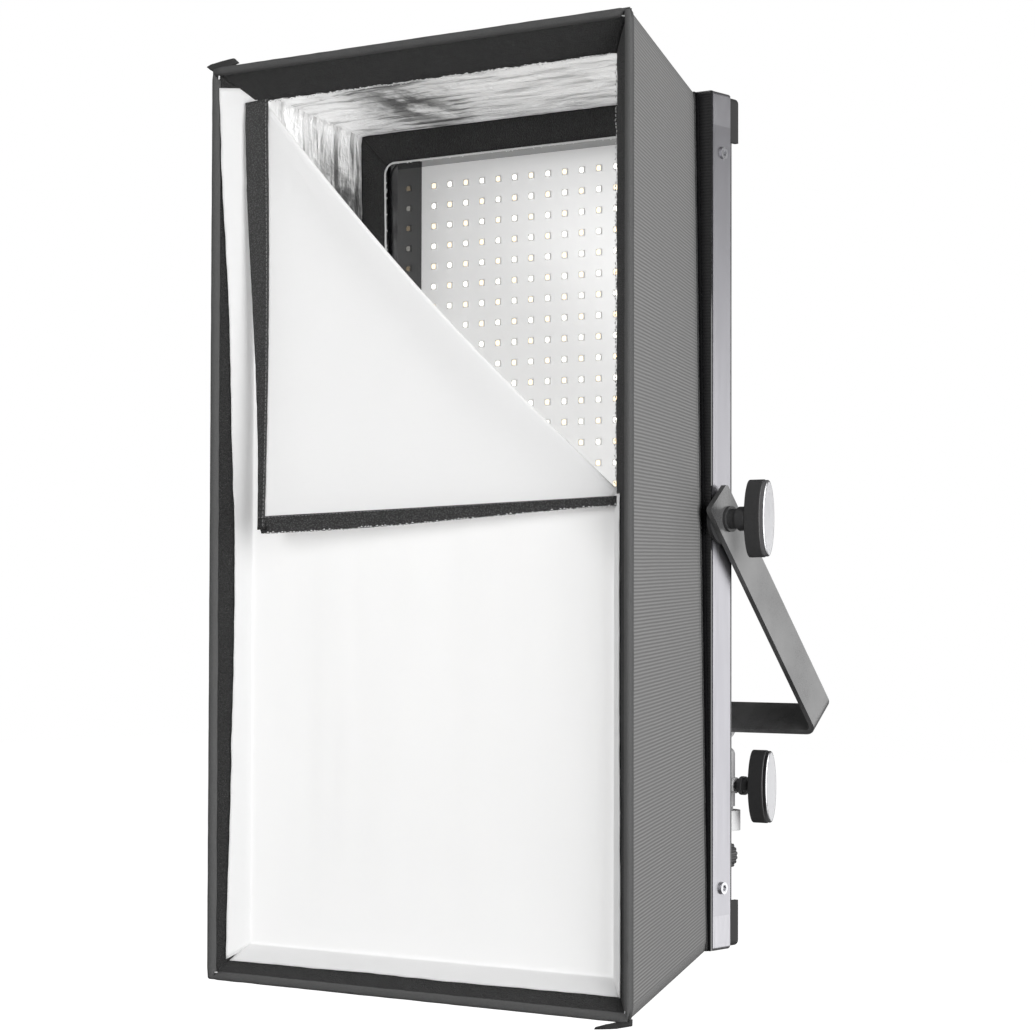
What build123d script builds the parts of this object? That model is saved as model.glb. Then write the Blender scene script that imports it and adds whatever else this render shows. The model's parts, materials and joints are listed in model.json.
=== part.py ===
from build123d import *
from math import cos, radians, sin
import os

# Strip softbox on a one-by-two foot light panel, held by a yoke on a stand socket.
# The origin is the centre of the stand socket's mouth, +Z is up and the light faces -Y.
# Pieces of the light head are placed from the centre of the panel's front face: x to the
# right seen from the front, depth backwards along +Y, z up.  All sizes are millimetres.

# Place of the light head and of its tilt axis
HEAD_X, HEAD_Y, HEAD_Z = -65.0, -141.0, 228.0   # centre of the panel's front face
PIVOT_DEPTH = 12.0
YOKE_ANGLE = 48.3                               # arms below straight back

# Light panel
PANEL_W, PANEL_H = 310.8, 600.0
RAIL_BACK, RAIL_W, RAIL_WALL = 24.0, 12.0, 2.5
CORNER = 24.0
BEZEL_T, BEZEL_WALL, BEZEL_SETBACK = 2.0, 1.5, 0.4
WINDOW_W, WINDOW_H = 255.8, 549.0
BOARD_DEPTH, BOARD_T, BOARD_MARGIN = 29.0, 1.6, 5.0
LED_SIZE, LED_T, LED_PITCH = 5.0, 1.2, 15.39
LED_COLUMNS, LED_ROWS, LED_CENTRE_Z = 16, 35, -2.8
TRAY_W, TRAY_H, TRAY_BACK, TRAY_WALL = 300.0, 592.0, 34.0, 1.0
BUMPER_T, BUMPER_LENGTH, BUMPER_DEPTH = 3.0, 32.0, 14.0

# Electronics housing on the back of the tray
HOUSING_W, HOUSING_H, HOUSING_Z = 276.0, 216.0, -168.0
HOUSING_BACK, HOUSING_WALL, FLANGE = 52.0, 2.0, 8.0
CONTROL_Z = -239.0
BRIGHTNESS_X, COLOUR_X, SWITCH_X, INLET_X = 122.0, 82.0, 30.0, -60.0

# Softbox
REAR_DEPTH, FRONT_DEPTH = -2.4, -142.8
REAR_HALF_W, REAR_HALF_H = 153.5, 300.0
RIM_HALF_W, RIM_HALF_H = 185.5, 330.5
BINDING_T = 1.5
SKIN, BOARD, LINING = 1.2, 1.2, 0.6
STIFFENER_MARGIN = 9.0
LIP_INSET, LIP_DROP, LIP_T = 23.7, 20.0, 2.3    # LIP_T is measured across the rim
HOOK_T, HOOK_GAP = 1.5, 0.2
FLANGE_BAND, HOOK_BAND, BAND_SETBACK, BAND_T = 26.0, 20.0, 4.0, 1.2

# Front diffuser and its folded corner
DIFFUSER_HALF_W, DIFFUSER_HALF_H, CLOTH_T = 163.0, 308.0, 0.8
DIFFUSER_DEPTH, FOLD_DEPTH = -124.2, -126.5
FOLD_START = (-150.4, 308.0)
FOLD_END = (163.0, 13.8)
FLAP_HALF_W, FLAP_HALF_H = 161.5, 306.5
BORDER = 19.0

# Yoke, knobs and stand socket
ARM_INNER, BAR_T, BAR_W = 158.5, 4.0, 28.5
YOKE_REACH, ARM_TOP, BEND = 193.5, 20.5, 10.0
SCREW_R, SCREW_HOLE_R = 4.0, 4.2
WASHER_R, WASHER_T, RUNNING_GAP = 18.0, 2.9, 0.2
KNOB_LENGTH, KNOB_WIDTH, KNOB_T, KNOB_ROUND = 54.0, 16.0, 13.0, 0.9
CAP_T, CAP_ROUND, CAP_SETBACK, SCREW_CHAMFER = 3.3, 1.5, 0.5, 0.8
TILT_HUB = ((0.0, 2.0, 9.0), (2.0, 9.0, 7.0), (9.0, 16.2, 8.5))    # start, end and radius of each step
CLAMP_HUB = ((0.0, 3.0, 5.0), (3.0, 6.0, 7.0), (6.0, 12.8, 6.0))
STUD_R, STUD_DEPTH = 8.05, 50.0                 # for a 5/8 inch stud
COLLAR_R, COLLAR_H = 20.0, 15.0
GROOVE_R, GROOVE_H = 14.5, 3.0
SOCKET_R, SHOULDER_Z, SHOULDER_R, NECK_R = 16.0, 62.0, 6.0, 9.5
PAD_W, PAD_H, PAD_T = 34.0, 23.0, 10.0
CLAMP_Z, CLAMP_SCREW_R = 34.0, 3.0
CLAMP_BOSS_R, CLAMP_BOSS_X, CLAMP_HUB_X = 6.0, 20.0, 22.0
NECK_TOP, INSERT_DEPTH, INSERT_LENGTH = 95.0, 14.0, 40.0
TILT_SCREW_REACH, STUD_GAP, ARM_TIP_ROUND = 8.9, 0.6, 3.0
BOLT_HEAD_R, BOLT_HEAD_H, BOLT_HEX_R = 6.5, 8.0, 3.4
BOLT_WASHER_R, BOLT_WASHER_T, BOLT_END_GAP = 8.5, 1.6, 1.0
PAD_ROUND, SHOULDER_ROUND = 4.0, 5.5

# Fasteners and small features
RAIL_SCREW_Z, RAIL_SCREW_DEPTH = 257.0, 14.0
RAIL_SCREW_R, RAIL_SCREW_HEAD_R, RAIL_SCREW_GRIP = 2.0, 4.2, 4.5
SCREW_HEAD_T, HEX_R, HEX_DEPTH = 1.8, 2.4, 1.2
HOUSING_SCREW_R, HOUSING_SCREW_HEAD_R, HOUSING_HEX_R = 1.5, 3.0, 1.2
BOARD_HOLE_R, BOARD_HOLE_INSET = 1.7, 4.0
CORNER_ROUND, TRAY_ROUND, HOUSING_ROUND = 2.5, 4.0, 6.0
VENT_LENGTH, VENT_WIDTH, VENT_PITCH_X, VENT_PITCH_Z = 40.0, 3.0, 56.0, 9.0
VENT_COLUMNS, VENT_ROWS, VENT_Z = 4, 6, 190.0
HOUSING_VENT_ROWS, HOUSING_VENT_Z = 5, 100.0
LOOM_SLOT_W, LOOM_SLOT_H = 40.0, 14.0
DRIVER_W, DRIVER_H, DRIVER_GAP, DRIVER_Z = 190.0, 110.0, 3.0, -146.0
DRIVER_HOLE_INSET, STANDOFF_R = 5.0, 3.0
CAPACITOR_R, CAPACITOR_H, CAPACITOR_X, CAPACITOR_PITCH, CAPACITORS = 4.8, 8.0, 73.0, 24.0, 4
CHOKE, CHOKE_H, CHOKE_PITCH_X, CHOKE_PITCH_Z = 20.0, 6.0, 34.0, 40.0
HEAT_SINK_W, HEAT_SINK_H, HEAT_SINK_T, HEAT_SINK_X = 12.0, 80.0, 7.0, 79.0
POT_R, POT_H, POT_HOLE_R, POT_GAP, POT_PROUD, SHAFT_R = 8.5, 9.0, 3.6, 1.0, 1.0, 3.0
SHAFT_SOCKET, SHAFT_GAP, SHAFT_LENGTH = 8.0, 0.3, 17.0
DIAL_GAP, DIAL_R, DIAL_H, DIAL_SKIRT_R, DIAL_SKIRT_H = 1.5, 11.0, 15.0, 12.0, 2.5
DIAL_FLUTES, FLUTE_R, FLUTE_CENTRE = 20, 1.1, 11.4
MARK_W, MARK_LENGTH, MARK_CENTRE, MARK_DEPTH = 1.2, 5.0, 7.0, 0.6
SWITCH_W, SWITCH_H, SWITCH_BODY, SWITCH_WALL, SWITCH_RIM, SWITCH_RIM_T = 14.0, 21.0, 12.0, 1.5, 2.0, 1.5
ROCKER_W, ROCKER_H, ROCKER_ROOT, ROCKER_TAPER = 10.0, 17.0, 5.0, 1.5
ROCKER_LOW, ROCKER_MID, ROCKER_HIGH, ROCKER_TIP = 0.6, 1.6, 3.4, 7.5
INLET_R, INLET_WALL, INLET_DEPTH, INLET_FLOOR = 11.0, 3.0, 13.0, 2.0
INLET_FLANGE_W, INLET_FLANGE_H, INLET_FLANGE_T = 26.0, 31.0, 2.0
INLET_PINS, INLET_PIN_R, INLET_PIN_RING, INLET_PIN_LENGTH = 4, 1.1, 4.2, 7.0
TAB_REACH, TAB_LENGTH, TAB_HEIGHT, TAB_DEPTH = 7.0, 27.0, 6.0, 10.0
TAB_BACK, TAB_MIDDLE, TAB_END = 2.0, 3.5, 3.0
HOOK_FRONT, HOOK_TRIM, HOOK_STOP = -133.5, 3.0, 4.0
FOLD_TRIM, FLAP_HOOK_T, FLAP_TURN, STRIP_GAP = 6.0, 0.9, 180.0, 1.0

OUT = "parts"
SIDES = ("top", "bottom", "left", "right")
EPS = 0.1


def front_plane(depth, x=0.0, z=0.0):
    """Plane across the head at a depth, facing forward, with its x to the right and y up."""
    return Plane(origin=(HEAD_X + x, HEAD_Y + depth, HEAD_Z + z), x_dir=(1, 0, 0), z_dir=(0, -1, 0))


def rear_plane(depth, x, z):
    """Plane across the head at a depth, facing back."""
    return Plane(origin=(HEAD_X + x, HEAD_Y + depth, HEAD_Z + z), x_dir=(-1, 0, 0), z_dir=(0, 1, 0))


def side_plane(x, depth=0.0, z=0.0, outward=1):
    """Plane square to X, facing right for outward = 1 and left for -1, with its y up."""
    origin = (HEAD_X + x, HEAD_Y + depth, HEAD_Z + z)
    return Plane(origin=origin, x_dir=(0, outward, 0), z_dir=(outward, 0, 0))


def save(name, builder):
    """Label a finished piece and write it."""
    builder.part.label = name
    export_step(builder.part, f"{OUT}/{name}.step")


def ring_sketch(depth, outer, inner):
    """Rectangular ring facing forward; outer and inner are (width, height)."""
    with BuildSketch(front_plane(depth)) as ring:
        Rectangle(*outer)
        Rectangle(*inner, mode=Mode.SUBTRACT)
    return ring.sketch


def outline_sketch(depth, points):
    """Straight-sided outline facing forward."""
    with BuildSketch(front_plane(depth)) as flat:
        with BuildLine():
            Polyline(*points, close=True)
        make_face()
    return flat.sketch


def side_outline(side, half_w, half_h, inset, trim=0.0):
    """Four corners of one mitred side of a rectangular ring, shortened by trim at each end."""
    in_w = half_w - inset
    in_h = half_h - inset
    if side in ("left", "right"):
        way = 1 if side == "right" else -1
        long, short = half_h - trim, in_h - trim
        return [(way * half_w, -long), (way * half_w, long), (way * in_w, short), (way * in_w, -short)]
    way = 1 if side == "top" else -1
    long, short = half_w - trim, in_w - trim
    return [(-long, way * half_h), (long, way * half_h), (short, way * in_h), (-short, way * in_h)]


def mitred_side(side, rings, trim=0.0):
    """One mitred side of a tapering ring, between two (depth, half_w, half_h, inset) rings."""
    with BuildPart() as piece:
        for depth, ring_w, ring_h, inset in rings:
            with BuildSketch(front_plane(depth)):
                with BuildLine():
                    Polyline(*side_outline(side, ring_w, ring_h, inset, trim), close=True)
                make_face()
        loft(ruled=True)
    return piece


def wall_half_size(depth):
    """Half width and half height of the softbox's outer face at a depth."""
    part_way = (depth - REAR_DEPTH) / (FRONT_DEPTH - REAR_DEPTH)
    wide = REAR_HALF_W + part_way * (RIM_HALF_W - REAR_HALF_W)
    high = REAR_HALF_H + part_way * (RIM_HALF_H - REAR_HALF_H)
    return wide, high


def wall_rings(rear, front, inset, thickness):
    """The two rings that bound one layer of a softbox wall."""
    rings = []
    for depth in (rear, front):
        wide, high = wall_half_size(depth)
        rings.append((depth, wide - inset, high - inset, thickness))
    return rings


def lip_face(depth):
    """How far the lip's front face is inside the rim's outer edge at a depth."""
    part_way = (depth - FRONT_DEPTH) / LIP_DROP
    return LIP_INSET * part_way + (SKIN + BOARD + LINING + LIP_T) * (1 - part_way)


def oval_knob(name, plane, screw_r, screw_start, hub_start, hub):
    """Oval clamping knob along a plane's normal: screw, body with a stepped hub, and cap."""
    body_start = hub_start + hub[-1][1]
    body_end = body_start + KNOB_T
    outermost = -1 if plane.z_dir.X > 0 else 0
    innermost = -1 - outermost
    with BuildPart() as body:
        with BuildSketch(plane.offset(body_start)):
            Ellipse(KNOB_WIDTH / 2, KNOB_LENGTH / 2)
        extrude(amount=KNOB_T)
        fillet(body.faces().filter_by(Axis.X).edges(), radius=KNOB_ROUND)
        for start, end, radius in hub:
            with BuildSketch(plane.offset(hub_start + start)):
                Circle(radius)
            extrude(amount=end - start)
        with BuildSketch(plane.offset(hub_start)):
            Circle(screw_r)
        extrude(amount=body_end - CAP_T - hub_start, mode=Mode.SUBTRACT)
    save(f"{name}_body", body)

    with BuildPart() as cap:
        with BuildSketch(plane.offset(body_end)):
            Ellipse(KNOB_WIDTH / 2 - CAP_SETBACK, KNOB_LENGTH / 2 - CAP_SETBACK)
        extrude(amount=CAP_T)
        fillet(cap.faces().sort_by(Axis.X)[outermost].edges(), radius=CAP_ROUND)
    save(f"{name}_cap", cap)

    with BuildPart() as screw:
        with BuildSketch(plane.offset(screw_start)):
            Circle(screw_r)
        extrude(amount=body_end - CAP_T - screw_start)
        chamfer(screw.edges().sort_by(Axis.X)[innermost], length=SCREW_CHAMFER)
    save(f"{name}_screw", screw)


os.makedirs(OUT, exist_ok=True)
half_w = PANEL_W / 2
half_h = PANEL_H / 2
bezel_w = PANEL_W - 2 * BEZEL_SETBACK
bezel_h = PANEL_H - 2 * BEZEL_SETBACK
rail_depth = RAIL_BACK - BEZEL_T

# ---------------------------------------------------------------- aluminium frame
rail_length = PANEL_H - 2 * CORNER
for side, way in (("left", -1), ("right", 1)):
    with BuildPart() as side_rail:
        with BuildSketch(Plane.XY.offset(HEAD_Z - rail_length / 2)):
            rail_x = HEAD_X + way * (half_w - RAIL_W / 2)
            with Locations((rail_x, HEAD_Y + RAIL_BACK - rail_depth / 2)):
                Rectangle(RAIL_W, rail_depth)
                Rectangle(RAIL_W - 2 * RAIL_WALL, rail_depth - 2 * RAIL_WALL, mode=Mode.SUBTRACT)
        extrude(amount=rail_length)
        with BuildSketch(side_plane(way * half_w, PIVOT_DEPTH, outward=way)):
            Circle(SCREW_HOLE_R)
        extrude(amount=-RAIL_WALL, mode=Mode.SUBTRACT)
        for z_way in (-1, 1):
            with BuildSketch(side_plane(way * half_w, RAIL_SCREW_DEPTH, z_way * RAIL_SCREW_Z, way)):
                Circle(RAIL_SCREW_R)
            extrude(amount=-RAIL_WALL, mode=Mode.SUBTRACT)
    save(f"side_rail_{side}", side_rail)

cross_length = PANEL_W - 2 * CORNER
for name, way in (("top_rail", 1), ("bottom_rail", -1)):
    with BuildPart() as cross_rail:
        rail_z = way * (half_h - RAIL_W / 2)
        with BuildSketch(side_plane(-cross_length / 2, RAIL_BACK - rail_depth / 2, rail_z)):
            Rectangle(rail_depth, RAIL_W)
            Rectangle(rail_depth - 2 * RAIL_WALL, RAIL_W - 2 * RAIL_WALL, mode=Mode.SUBTRACT)
        extrude(amount=cross_length)
    save(name, cross_rail)

with BuildPart() as corner_blocks:
    for x_way in (-1, 1):
        for z_way in (-1, 1):
            outer_x, inner_x, leg_x = (x_way * (half_w - cut) for cut in (0, RAIL_W, CORNER))
            outer_z, inner_z, leg_z = (z_way * (half_h - cut) for cut in (0, RAIL_W, CORNER))
            with BuildSketch(front_plane(BEZEL_T)):
                with BuildLine():
                    Polyline(
                        (outer_x, outer_z),
                        (leg_x, outer_z),
                        (leg_x, inner_z),
                        (inner_x, inner_z),
                        (inner_x, leg_z),
                        (outer_x, leg_z),
                        close=True,
                    )
                make_face()
                fillet(vertices().sort_by_distance((outer_x, outer_z))[0], radius=CORNER_ROUND)
            extrude(amount=-rail_depth)
save("corner_blocks", corner_blocks)

with BuildPart() as rail_screws:
    for way in (-1, 1):
        for z_way in (-1, 1):
            with BuildSketch(side_plane(way * half_w, RAIL_SCREW_DEPTH, z_way * RAIL_SCREW_Z, way)):
                Circle(RAIL_SCREW_HEAD_R)
            extrude(amount=SCREW_HEAD_T)
            with BuildSketch(side_plane(way * half_w, RAIL_SCREW_DEPTH, z_way * RAIL_SCREW_Z, way)):
                Circle(RAIL_SCREW_R)
            extrude(amount=-RAIL_SCREW_GRIP)
            head_x = way * (half_w + SCREW_HEAD_T)
            with BuildSketch(side_plane(head_x, RAIL_SCREW_DEPTH, z_way * RAIL_SCREW_Z, way)):
                RegularPolygon(HEX_R, 6)
            extrude(amount=-HEX_DEPTH, mode=Mode.SUBTRACT)
save("rail_screws", rail_screws)

# ---------------------------------------------------------------- light engine
with BuildPart() as front_bezel:
    extrude(ring_sketch(0, (bezel_w, bezel_h), (WINDOW_W, WINDOW_H)), amount=-BEZEL_T)
    wall_outer = (WINDOW_W + 2 * BEZEL_WALL, WINDOW_H + 2 * BEZEL_WALL)
    extrude(ring_sketch(BEZEL_T, wall_outer, (WINDOW_W, WINDOW_H)), amount=BEZEL_T - BOARD_DEPTH + EPS)
save("front_bezel", front_bezel)

board_w = WINDOW_W + 2 * BOARD_MARGIN
board_h = WINDOW_H + 2 * BOARD_MARGIN
with BuildPart() as led_board:
    with BuildSketch(front_plane(BOARD_DEPTH)):
        Rectangle(board_w, board_h)
        with GridLocations(board_w - 2 * BOARD_HOLE_INSET, board_h - 2 * BOARD_HOLE_INSET, 2, 2):
            Circle(BOARD_HOLE_R, mode=Mode.SUBTRACT)
    extrude(amount=-BOARD_T)
save("led_board", led_board)

for name, parity in (("leds_warm", 0), ("leds_cool", 1)):
    places = []
    for row in range(LED_ROWS):
        for column in range(LED_COLUMNS):
            if (row + column) % 2 == parity:
                led_x = (column - (LED_COLUMNS - 1) / 2) * LED_PITCH
                led_z = LED_CENTRE_Z + ((LED_ROWS - 1) / 2 - row) * LED_PITCH
                places.append((led_x, led_z))
    with BuildPart() as leds:
        with BuildSketch(front_plane(BOARD_DEPTH)):
            with Locations(*places):
                Rectangle(LED_SIZE, LED_SIZE)
        extrude(amount=LED_T)
    save(name, leds)

spreader_depth = BOARD_DEPTH + BOARD_T
with BuildPart() as heat_spreader:
    with BuildSketch(front_plane(spreader_depth)):
        Rectangle(board_w, board_h)
        with Locations((0, HOUSING_Z)):
            SlotOverall(LOOM_SLOT_W, LOOM_SLOT_H, mode=Mode.SUBTRACT)
    extrude(amount=spreader_depth - TRAY_BACK + TRAY_WALL)
save("heat_spreader", heat_spreader)

with BuildPart() as rear_tray:
    with BuildSketch(front_plane(RAIL_BACK)):
        RectangleRounded(TRAY_W, TRAY_H, TRAY_ROUND)
    extrude(amount=RAIL_BACK - TRAY_BACK)
    with BuildSketch(front_plane(RAIL_BACK)):
        RectangleRounded(TRAY_W - 2 * TRAY_WALL, TRAY_H - 2 * TRAY_WALL, TRAY_ROUND - TRAY_WALL)
    extrude(amount=RAIL_BACK - TRAY_BACK + TRAY_WALL, mode=Mode.SUBTRACT)
    with BuildSketch(front_plane(TRAY_BACK)):
        with Locations((0, VENT_Z)):
            with GridLocations(VENT_PITCH_X, VENT_PITCH_Z, VENT_COLUMNS, VENT_ROWS):
                SlotOverall(VENT_LENGTH, VENT_WIDTH)
        with Locations((0, HOUSING_Z)):
            SlotOverall(LOOM_SLOT_W, LOOM_SLOT_H)
    extrude(amount=TRAY_WALL, mode=Mode.SUBTRACT)
save("rear_tray", rear_tray)

with BuildPart() as corner_bumpers:
    for x_way in (-1, 1):
        for z_way in (-1, 1):
            tray_x, tray_z = x_way * TRAY_W / 2, z_way * TRAY_H / 2
            outer_x, outer_z = tray_x + x_way * BUMPER_T, tray_z + z_way * BUMPER_T
            leg_x, leg_z = outer_x - x_way * BUMPER_LENGTH, outer_z - z_way * BUMPER_LENGTH
            with BuildSketch(front_plane(RAIL_BACK)):
                with BuildLine():
                    Polyline(
                        (outer_x, outer_z),
                        (leg_x, outer_z),
                        (leg_x, tray_z),
                        (tray_x, tray_z),
                        (tray_x, leg_z),
                        (outer_x, leg_z),
                        close=True,
                    )
                make_face()
                fillet(vertices().sort_by_distance((outer_x, outer_z))[0], radius=TRAY_ROUND)
            extrude(amount=-BUMPER_DEPTH)
save("corner_bumpers", corner_bumpers)

# ---------------------------------------------------------------- electronics on the back
housing_depth = HOUSING_BACK - TRAY_BACK
with BuildPart() as electronics_housing:
    with BuildSketch(rear_plane(TRAY_BACK, 0, HOUSING_Z)):
        RectangleRounded(HOUSING_W + 2 * FLANGE, HOUSING_H + 2 * FLANGE, HOUSING_ROUND)
    extrude(amount=HOUSING_WALL)
    with BuildSketch(rear_plane(TRAY_BACK, 0, HOUSING_Z)):
        RectangleRounded(HOUSING_W, HOUSING_H, HOUSING_ROUND)
    extrude(amount=housing_depth)
    fillet(electronics_housing.faces().sort_by(Axis.Y)[-1].edges(), radius=HOUSING_WALL)
    with BuildSketch(rear_plane(TRAY_BACK, 0, HOUSING_Z)):
        Rectangle(HOUSING_W - 2 * HOUSING_WALL, HOUSING_H - 2 * HOUSING_WALL)
    extrude(amount=housing_depth - HOUSING_WALL, mode=Mode.SUBTRACT)
    with BuildSketch(rear_plane(HOUSING_BACK, 0, CONTROL_Z)):
        with Locations((-BRIGHTNESS_X, 0), (-COLOUR_X, 0)):
            Circle(POT_HOLE_R)
        with Locations((-SWITCH_X, 0)):
            Rectangle(SWITCH_W, SWITCH_H)
        with Locations((-INLET_X, 0)):
            Circle(INLET_R)
        with Locations((0, HOUSING_VENT_Z)):
            with GridLocations(VENT_PITCH_X, VENT_PITCH_Z, VENT_COLUMNS, HOUSING_VENT_ROWS):
                SlotOverall(VENT_LENGTH, VENT_WIDTH)
    extrude(amount=-HOUSING_WALL, mode=Mode.SUBTRACT)
    with BuildSketch(rear_plane(TRAY_BACK, 0, HOUSING_Z)):
        with GridLocations(HOUSING_W + FLANGE, HOUSING_H / 2 - FLANGE, 2, 3):
            Circle(HOUSING_SCREW_R)
    extrude(amount=HOUSING_WALL, mode=Mode.SUBTRACT)
save("electronics_housing", electronics_housing)

with BuildPart() as housing_screws:
    with BuildSketch(rear_plane(TRAY_BACK, 0, HOUSING_Z)):
        with GridLocations(HOUSING_W + FLANGE, HOUSING_H / 2 - FLANGE, 2, 3):
            Circle(HOUSING_SCREW_R)
    extrude(amount=HOUSING_WALL)
    with BuildSketch(rear_plane(TRAY_BACK + HOUSING_WALL, 0, HOUSING_Z)):
        with GridLocations(HOUSING_W + FLANGE, HOUSING_H / 2 - FLANGE, 2, 3):
            Circle(HOUSING_SCREW_HEAD_R)
            RegularPolygon(HOUSING_HEX_R, 6, mode=Mode.SUBTRACT)
    extrude(amount=SCREW_HEAD_T)
save("housing_screws", housing_screws)

with BuildPart() as driver_board:
    with BuildSketch(rear_plane(TRAY_BACK + DRIVER_GAP, 0, DRIVER_Z)):
        Rectangle(DRIVER_W, DRIVER_H)
        with GridLocations(DRIVER_W - 2 * DRIVER_HOLE_INSET, DRIVER_H - 2 * DRIVER_HOLE_INSET, 2, 2):
            Circle(HOUSING_SCREW_R, mode=Mode.SUBTRACT)
    extrude(amount=BOARD_T)
save("driver_board", driver_board)

with BuildPart() as driver_standoffs:
    with BuildSketch(rear_plane(TRAY_BACK, 0, DRIVER_Z)):
        with GridLocations(DRIVER_W - 2 * DRIVER_HOLE_INSET, DRIVER_H - 2 * DRIVER_HOLE_INSET, 2, 2):
            Circle(STANDOFF_R)
    extrude(amount=DRIVER_GAP)
save("driver_standoffs", driver_standoffs)

part_depth = TRAY_BACK + DRIVER_GAP + BOARD_T
with BuildPart() as driver_components:
    with BuildSketch(rear_plane(part_depth, 0, DRIVER_Z)):
        with Locations((-CAPACITOR_X, 0)):
            with GridLocations(0, CAPACITOR_PITCH, 1, CAPACITORS):
                Circle(CAPACITOR_R)
    extrude(amount=CAPACITOR_H)
    with BuildSketch(rear_plane(part_depth, 0, DRIVER_Z)):
        with GridLocations(CHOKE_PITCH_X, CHOKE_PITCH_Z, 3, 2):
            Rectangle(CHOKE, CHOKE)
    extrude(amount=CHOKE_H)
    with BuildSketch(rear_plane(part_depth, 0, DRIVER_Z)):
        with Locations((HEAT_SINK_X, 0)):
            Rectangle(HEAT_SINK_W, HEAT_SINK_H)
    extrude(amount=HEAT_SINK_T)
save("driver_components", driver_components)

pot_end = HOUSING_BACK + POT_PROUD
shaft_start = pot_end - SHAFT_SOCKET + SHAFT_GAP
shaft_end = shaft_start + SHAFT_LENGTH
with BuildPart() as control_pots:
    for control_x in (BRIGHTNESS_X, COLOUR_X):
        with BuildSketch(rear_plane(TRAY_BACK + POT_GAP, control_x, CONTROL_Z)):
            Circle(POT_R)
        extrude(amount=POT_H)
        with BuildSketch(rear_plane(pot_end, control_x, CONTROL_Z)):
            Circle(POT_HOLE_R - EPS)
        extrude(amount=TRAY_BACK + POT_GAP + POT_H - pot_end)
        with BuildSketch(rear_plane(pot_end, control_x, CONTROL_Z)):
            Circle(SHAFT_R + EPS)
        extrude(amount=-SHAFT_SOCKET, mode=Mode.SUBTRACT)
save("control_pots", control_pots)

dial_start = HOUSING_BACK + DIAL_GAP
for name, control_x in (("brightness", BRIGHTNESS_X), ("colour", COLOUR_X)):
    with BuildPart() as control_shaft:
        with BuildSketch(rear_plane(shaft_start, control_x, CONTROL_Z)):
            Circle(SHAFT_R)
        extrude(amount=SHAFT_LENGTH)
    save(f"{name}_shaft", control_shaft)
    with BuildPart() as control_knob:
        with BuildSketch(rear_plane(dial_start, control_x, CONTROL_Z)):
            Circle(DIAL_R)
            with PolarLocations(FLUTE_CENTRE, DIAL_FLUTES):
                Circle(FLUTE_R, mode=Mode.SUBTRACT)
        extrude(amount=DIAL_H)
        with BuildSketch(rear_plane(dial_start, control_x, CONTROL_Z)):
            Circle(DIAL_SKIRT_R)
        extrude(amount=DIAL_SKIRT_H)
        with BuildSketch(rear_plane(dial_start + DIAL_H, control_x, CONTROL_Z)):
            with Locations((0, MARK_CENTRE)):
                Rectangle(MARK_W, MARK_LENGTH)
        extrude(amount=-MARK_DEPTH, mode=Mode.SUBTRACT)
        with BuildSketch(rear_plane(dial_start, control_x, CONTROL_Z)):
            Circle(SHAFT_R)
        extrude(amount=shaft_end - dial_start, mode=Mode.SUBTRACT)
    save(f"{name}_knob", control_knob)

with BuildPart() as switch_frame:
    with BuildSketch(rear_plane(HOUSING_BACK, SWITCH_X, CONTROL_Z)):
        Rectangle(SWITCH_W + 2 * SWITCH_RIM, SWITCH_H + 2 * SWITCH_RIM)
        Rectangle(SWITCH_W - 2 * SWITCH_WALL, SWITCH_H - 2 * SWITCH_WALL, mode=Mode.SUBTRACT)
    extrude(amount=SWITCH_RIM_T)
    with BuildSketch(rear_plane(HOUSING_BACK, SWITCH_X, CONTROL_Z)):
        Rectangle(SWITCH_W - 2 * EPS, SWITCH_H - 2 * EPS)
        Rectangle(SWITCH_W - 2 * SWITCH_WALL, SWITCH_H - 2 * SWITCH_WALL, mode=Mode.SUBTRACT)
    extrude(amount=-SWITCH_BODY)
save("switch_frame", switch_frame)

with BuildPart() as switch_rocker:
    with BuildSketch(side_plane(SWITCH_X - ROCKER_W / 2, HOUSING_BACK, CONTROL_Z)):
        with BuildLine():
            Polyline(
                (-ROCKER_ROOT, -ROCKER_H / 2 + ROCKER_TAPER),
                (ROCKER_LOW, -ROCKER_H / 2),
                (ROCKER_MID, 0),
                (ROCKER_HIGH, ROCKER_TIP),
                (-ROCKER_ROOT, ROCKER_H / 2 - ROCKER_TAPER),
                close=True,
            )
        make_face()
    extrude(amount=ROCKER_W)
save("switch_rocker", switch_rocker)

with BuildPart() as dc_inlet_shell:
    with BuildSketch(rear_plane(HOUSING_BACK, INLET_X, CONTROL_Z)):
        Rectangle(INLET_FLANGE_W, INLET_FLANGE_H)
        Circle(INLET_R - INLET_WALL, mode=Mode.SUBTRACT)
    extrude(amount=INLET_FLANGE_T)
    with BuildSketch(rear_plane(HOUSING_BACK, INLET_X, CONTROL_Z)):
        Circle(INLET_R - EPS)
        Circle(INLET_R - INLET_WALL, mode=Mode.SUBTRACT)
    extrude(amount=-INLET_DEPTH)
    with BuildSketch(rear_plane(HOUSING_BACK - INLET_DEPTH, INLET_X, CONTROL_Z)):
        Circle(INLET_R - EPS)
    extrude(amount=INLET_FLOOR)
save("dc_inlet_shell", dc_inlet_shell)

with BuildPart() as dc_inlet_pins:
    with BuildSketch(rear_plane(HOUSING_BACK - INLET_DEPTH + INLET_FLOOR, INLET_X, CONTROL_Z)):
        with PolarLocations(INLET_PIN_RING, INLET_PINS, start_angle=180 / INLET_PINS):
            Circle(INLET_PIN_R)
    extrude(amount=INLET_PIN_LENGTH)
save("dc_inlet_pins", dc_inlet_pins)

# ---------------------------------------------------------------- softbox walls
lip_start = SKIN + BOARD + LINING
wall_front = FRONT_DEPTH + BINDING_T
for side in SIDES:
    save(f"shell_panel_{side}", mitred_side(side, wall_rings(REAR_DEPTH, wall_front, 0, SKIN)))

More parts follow.
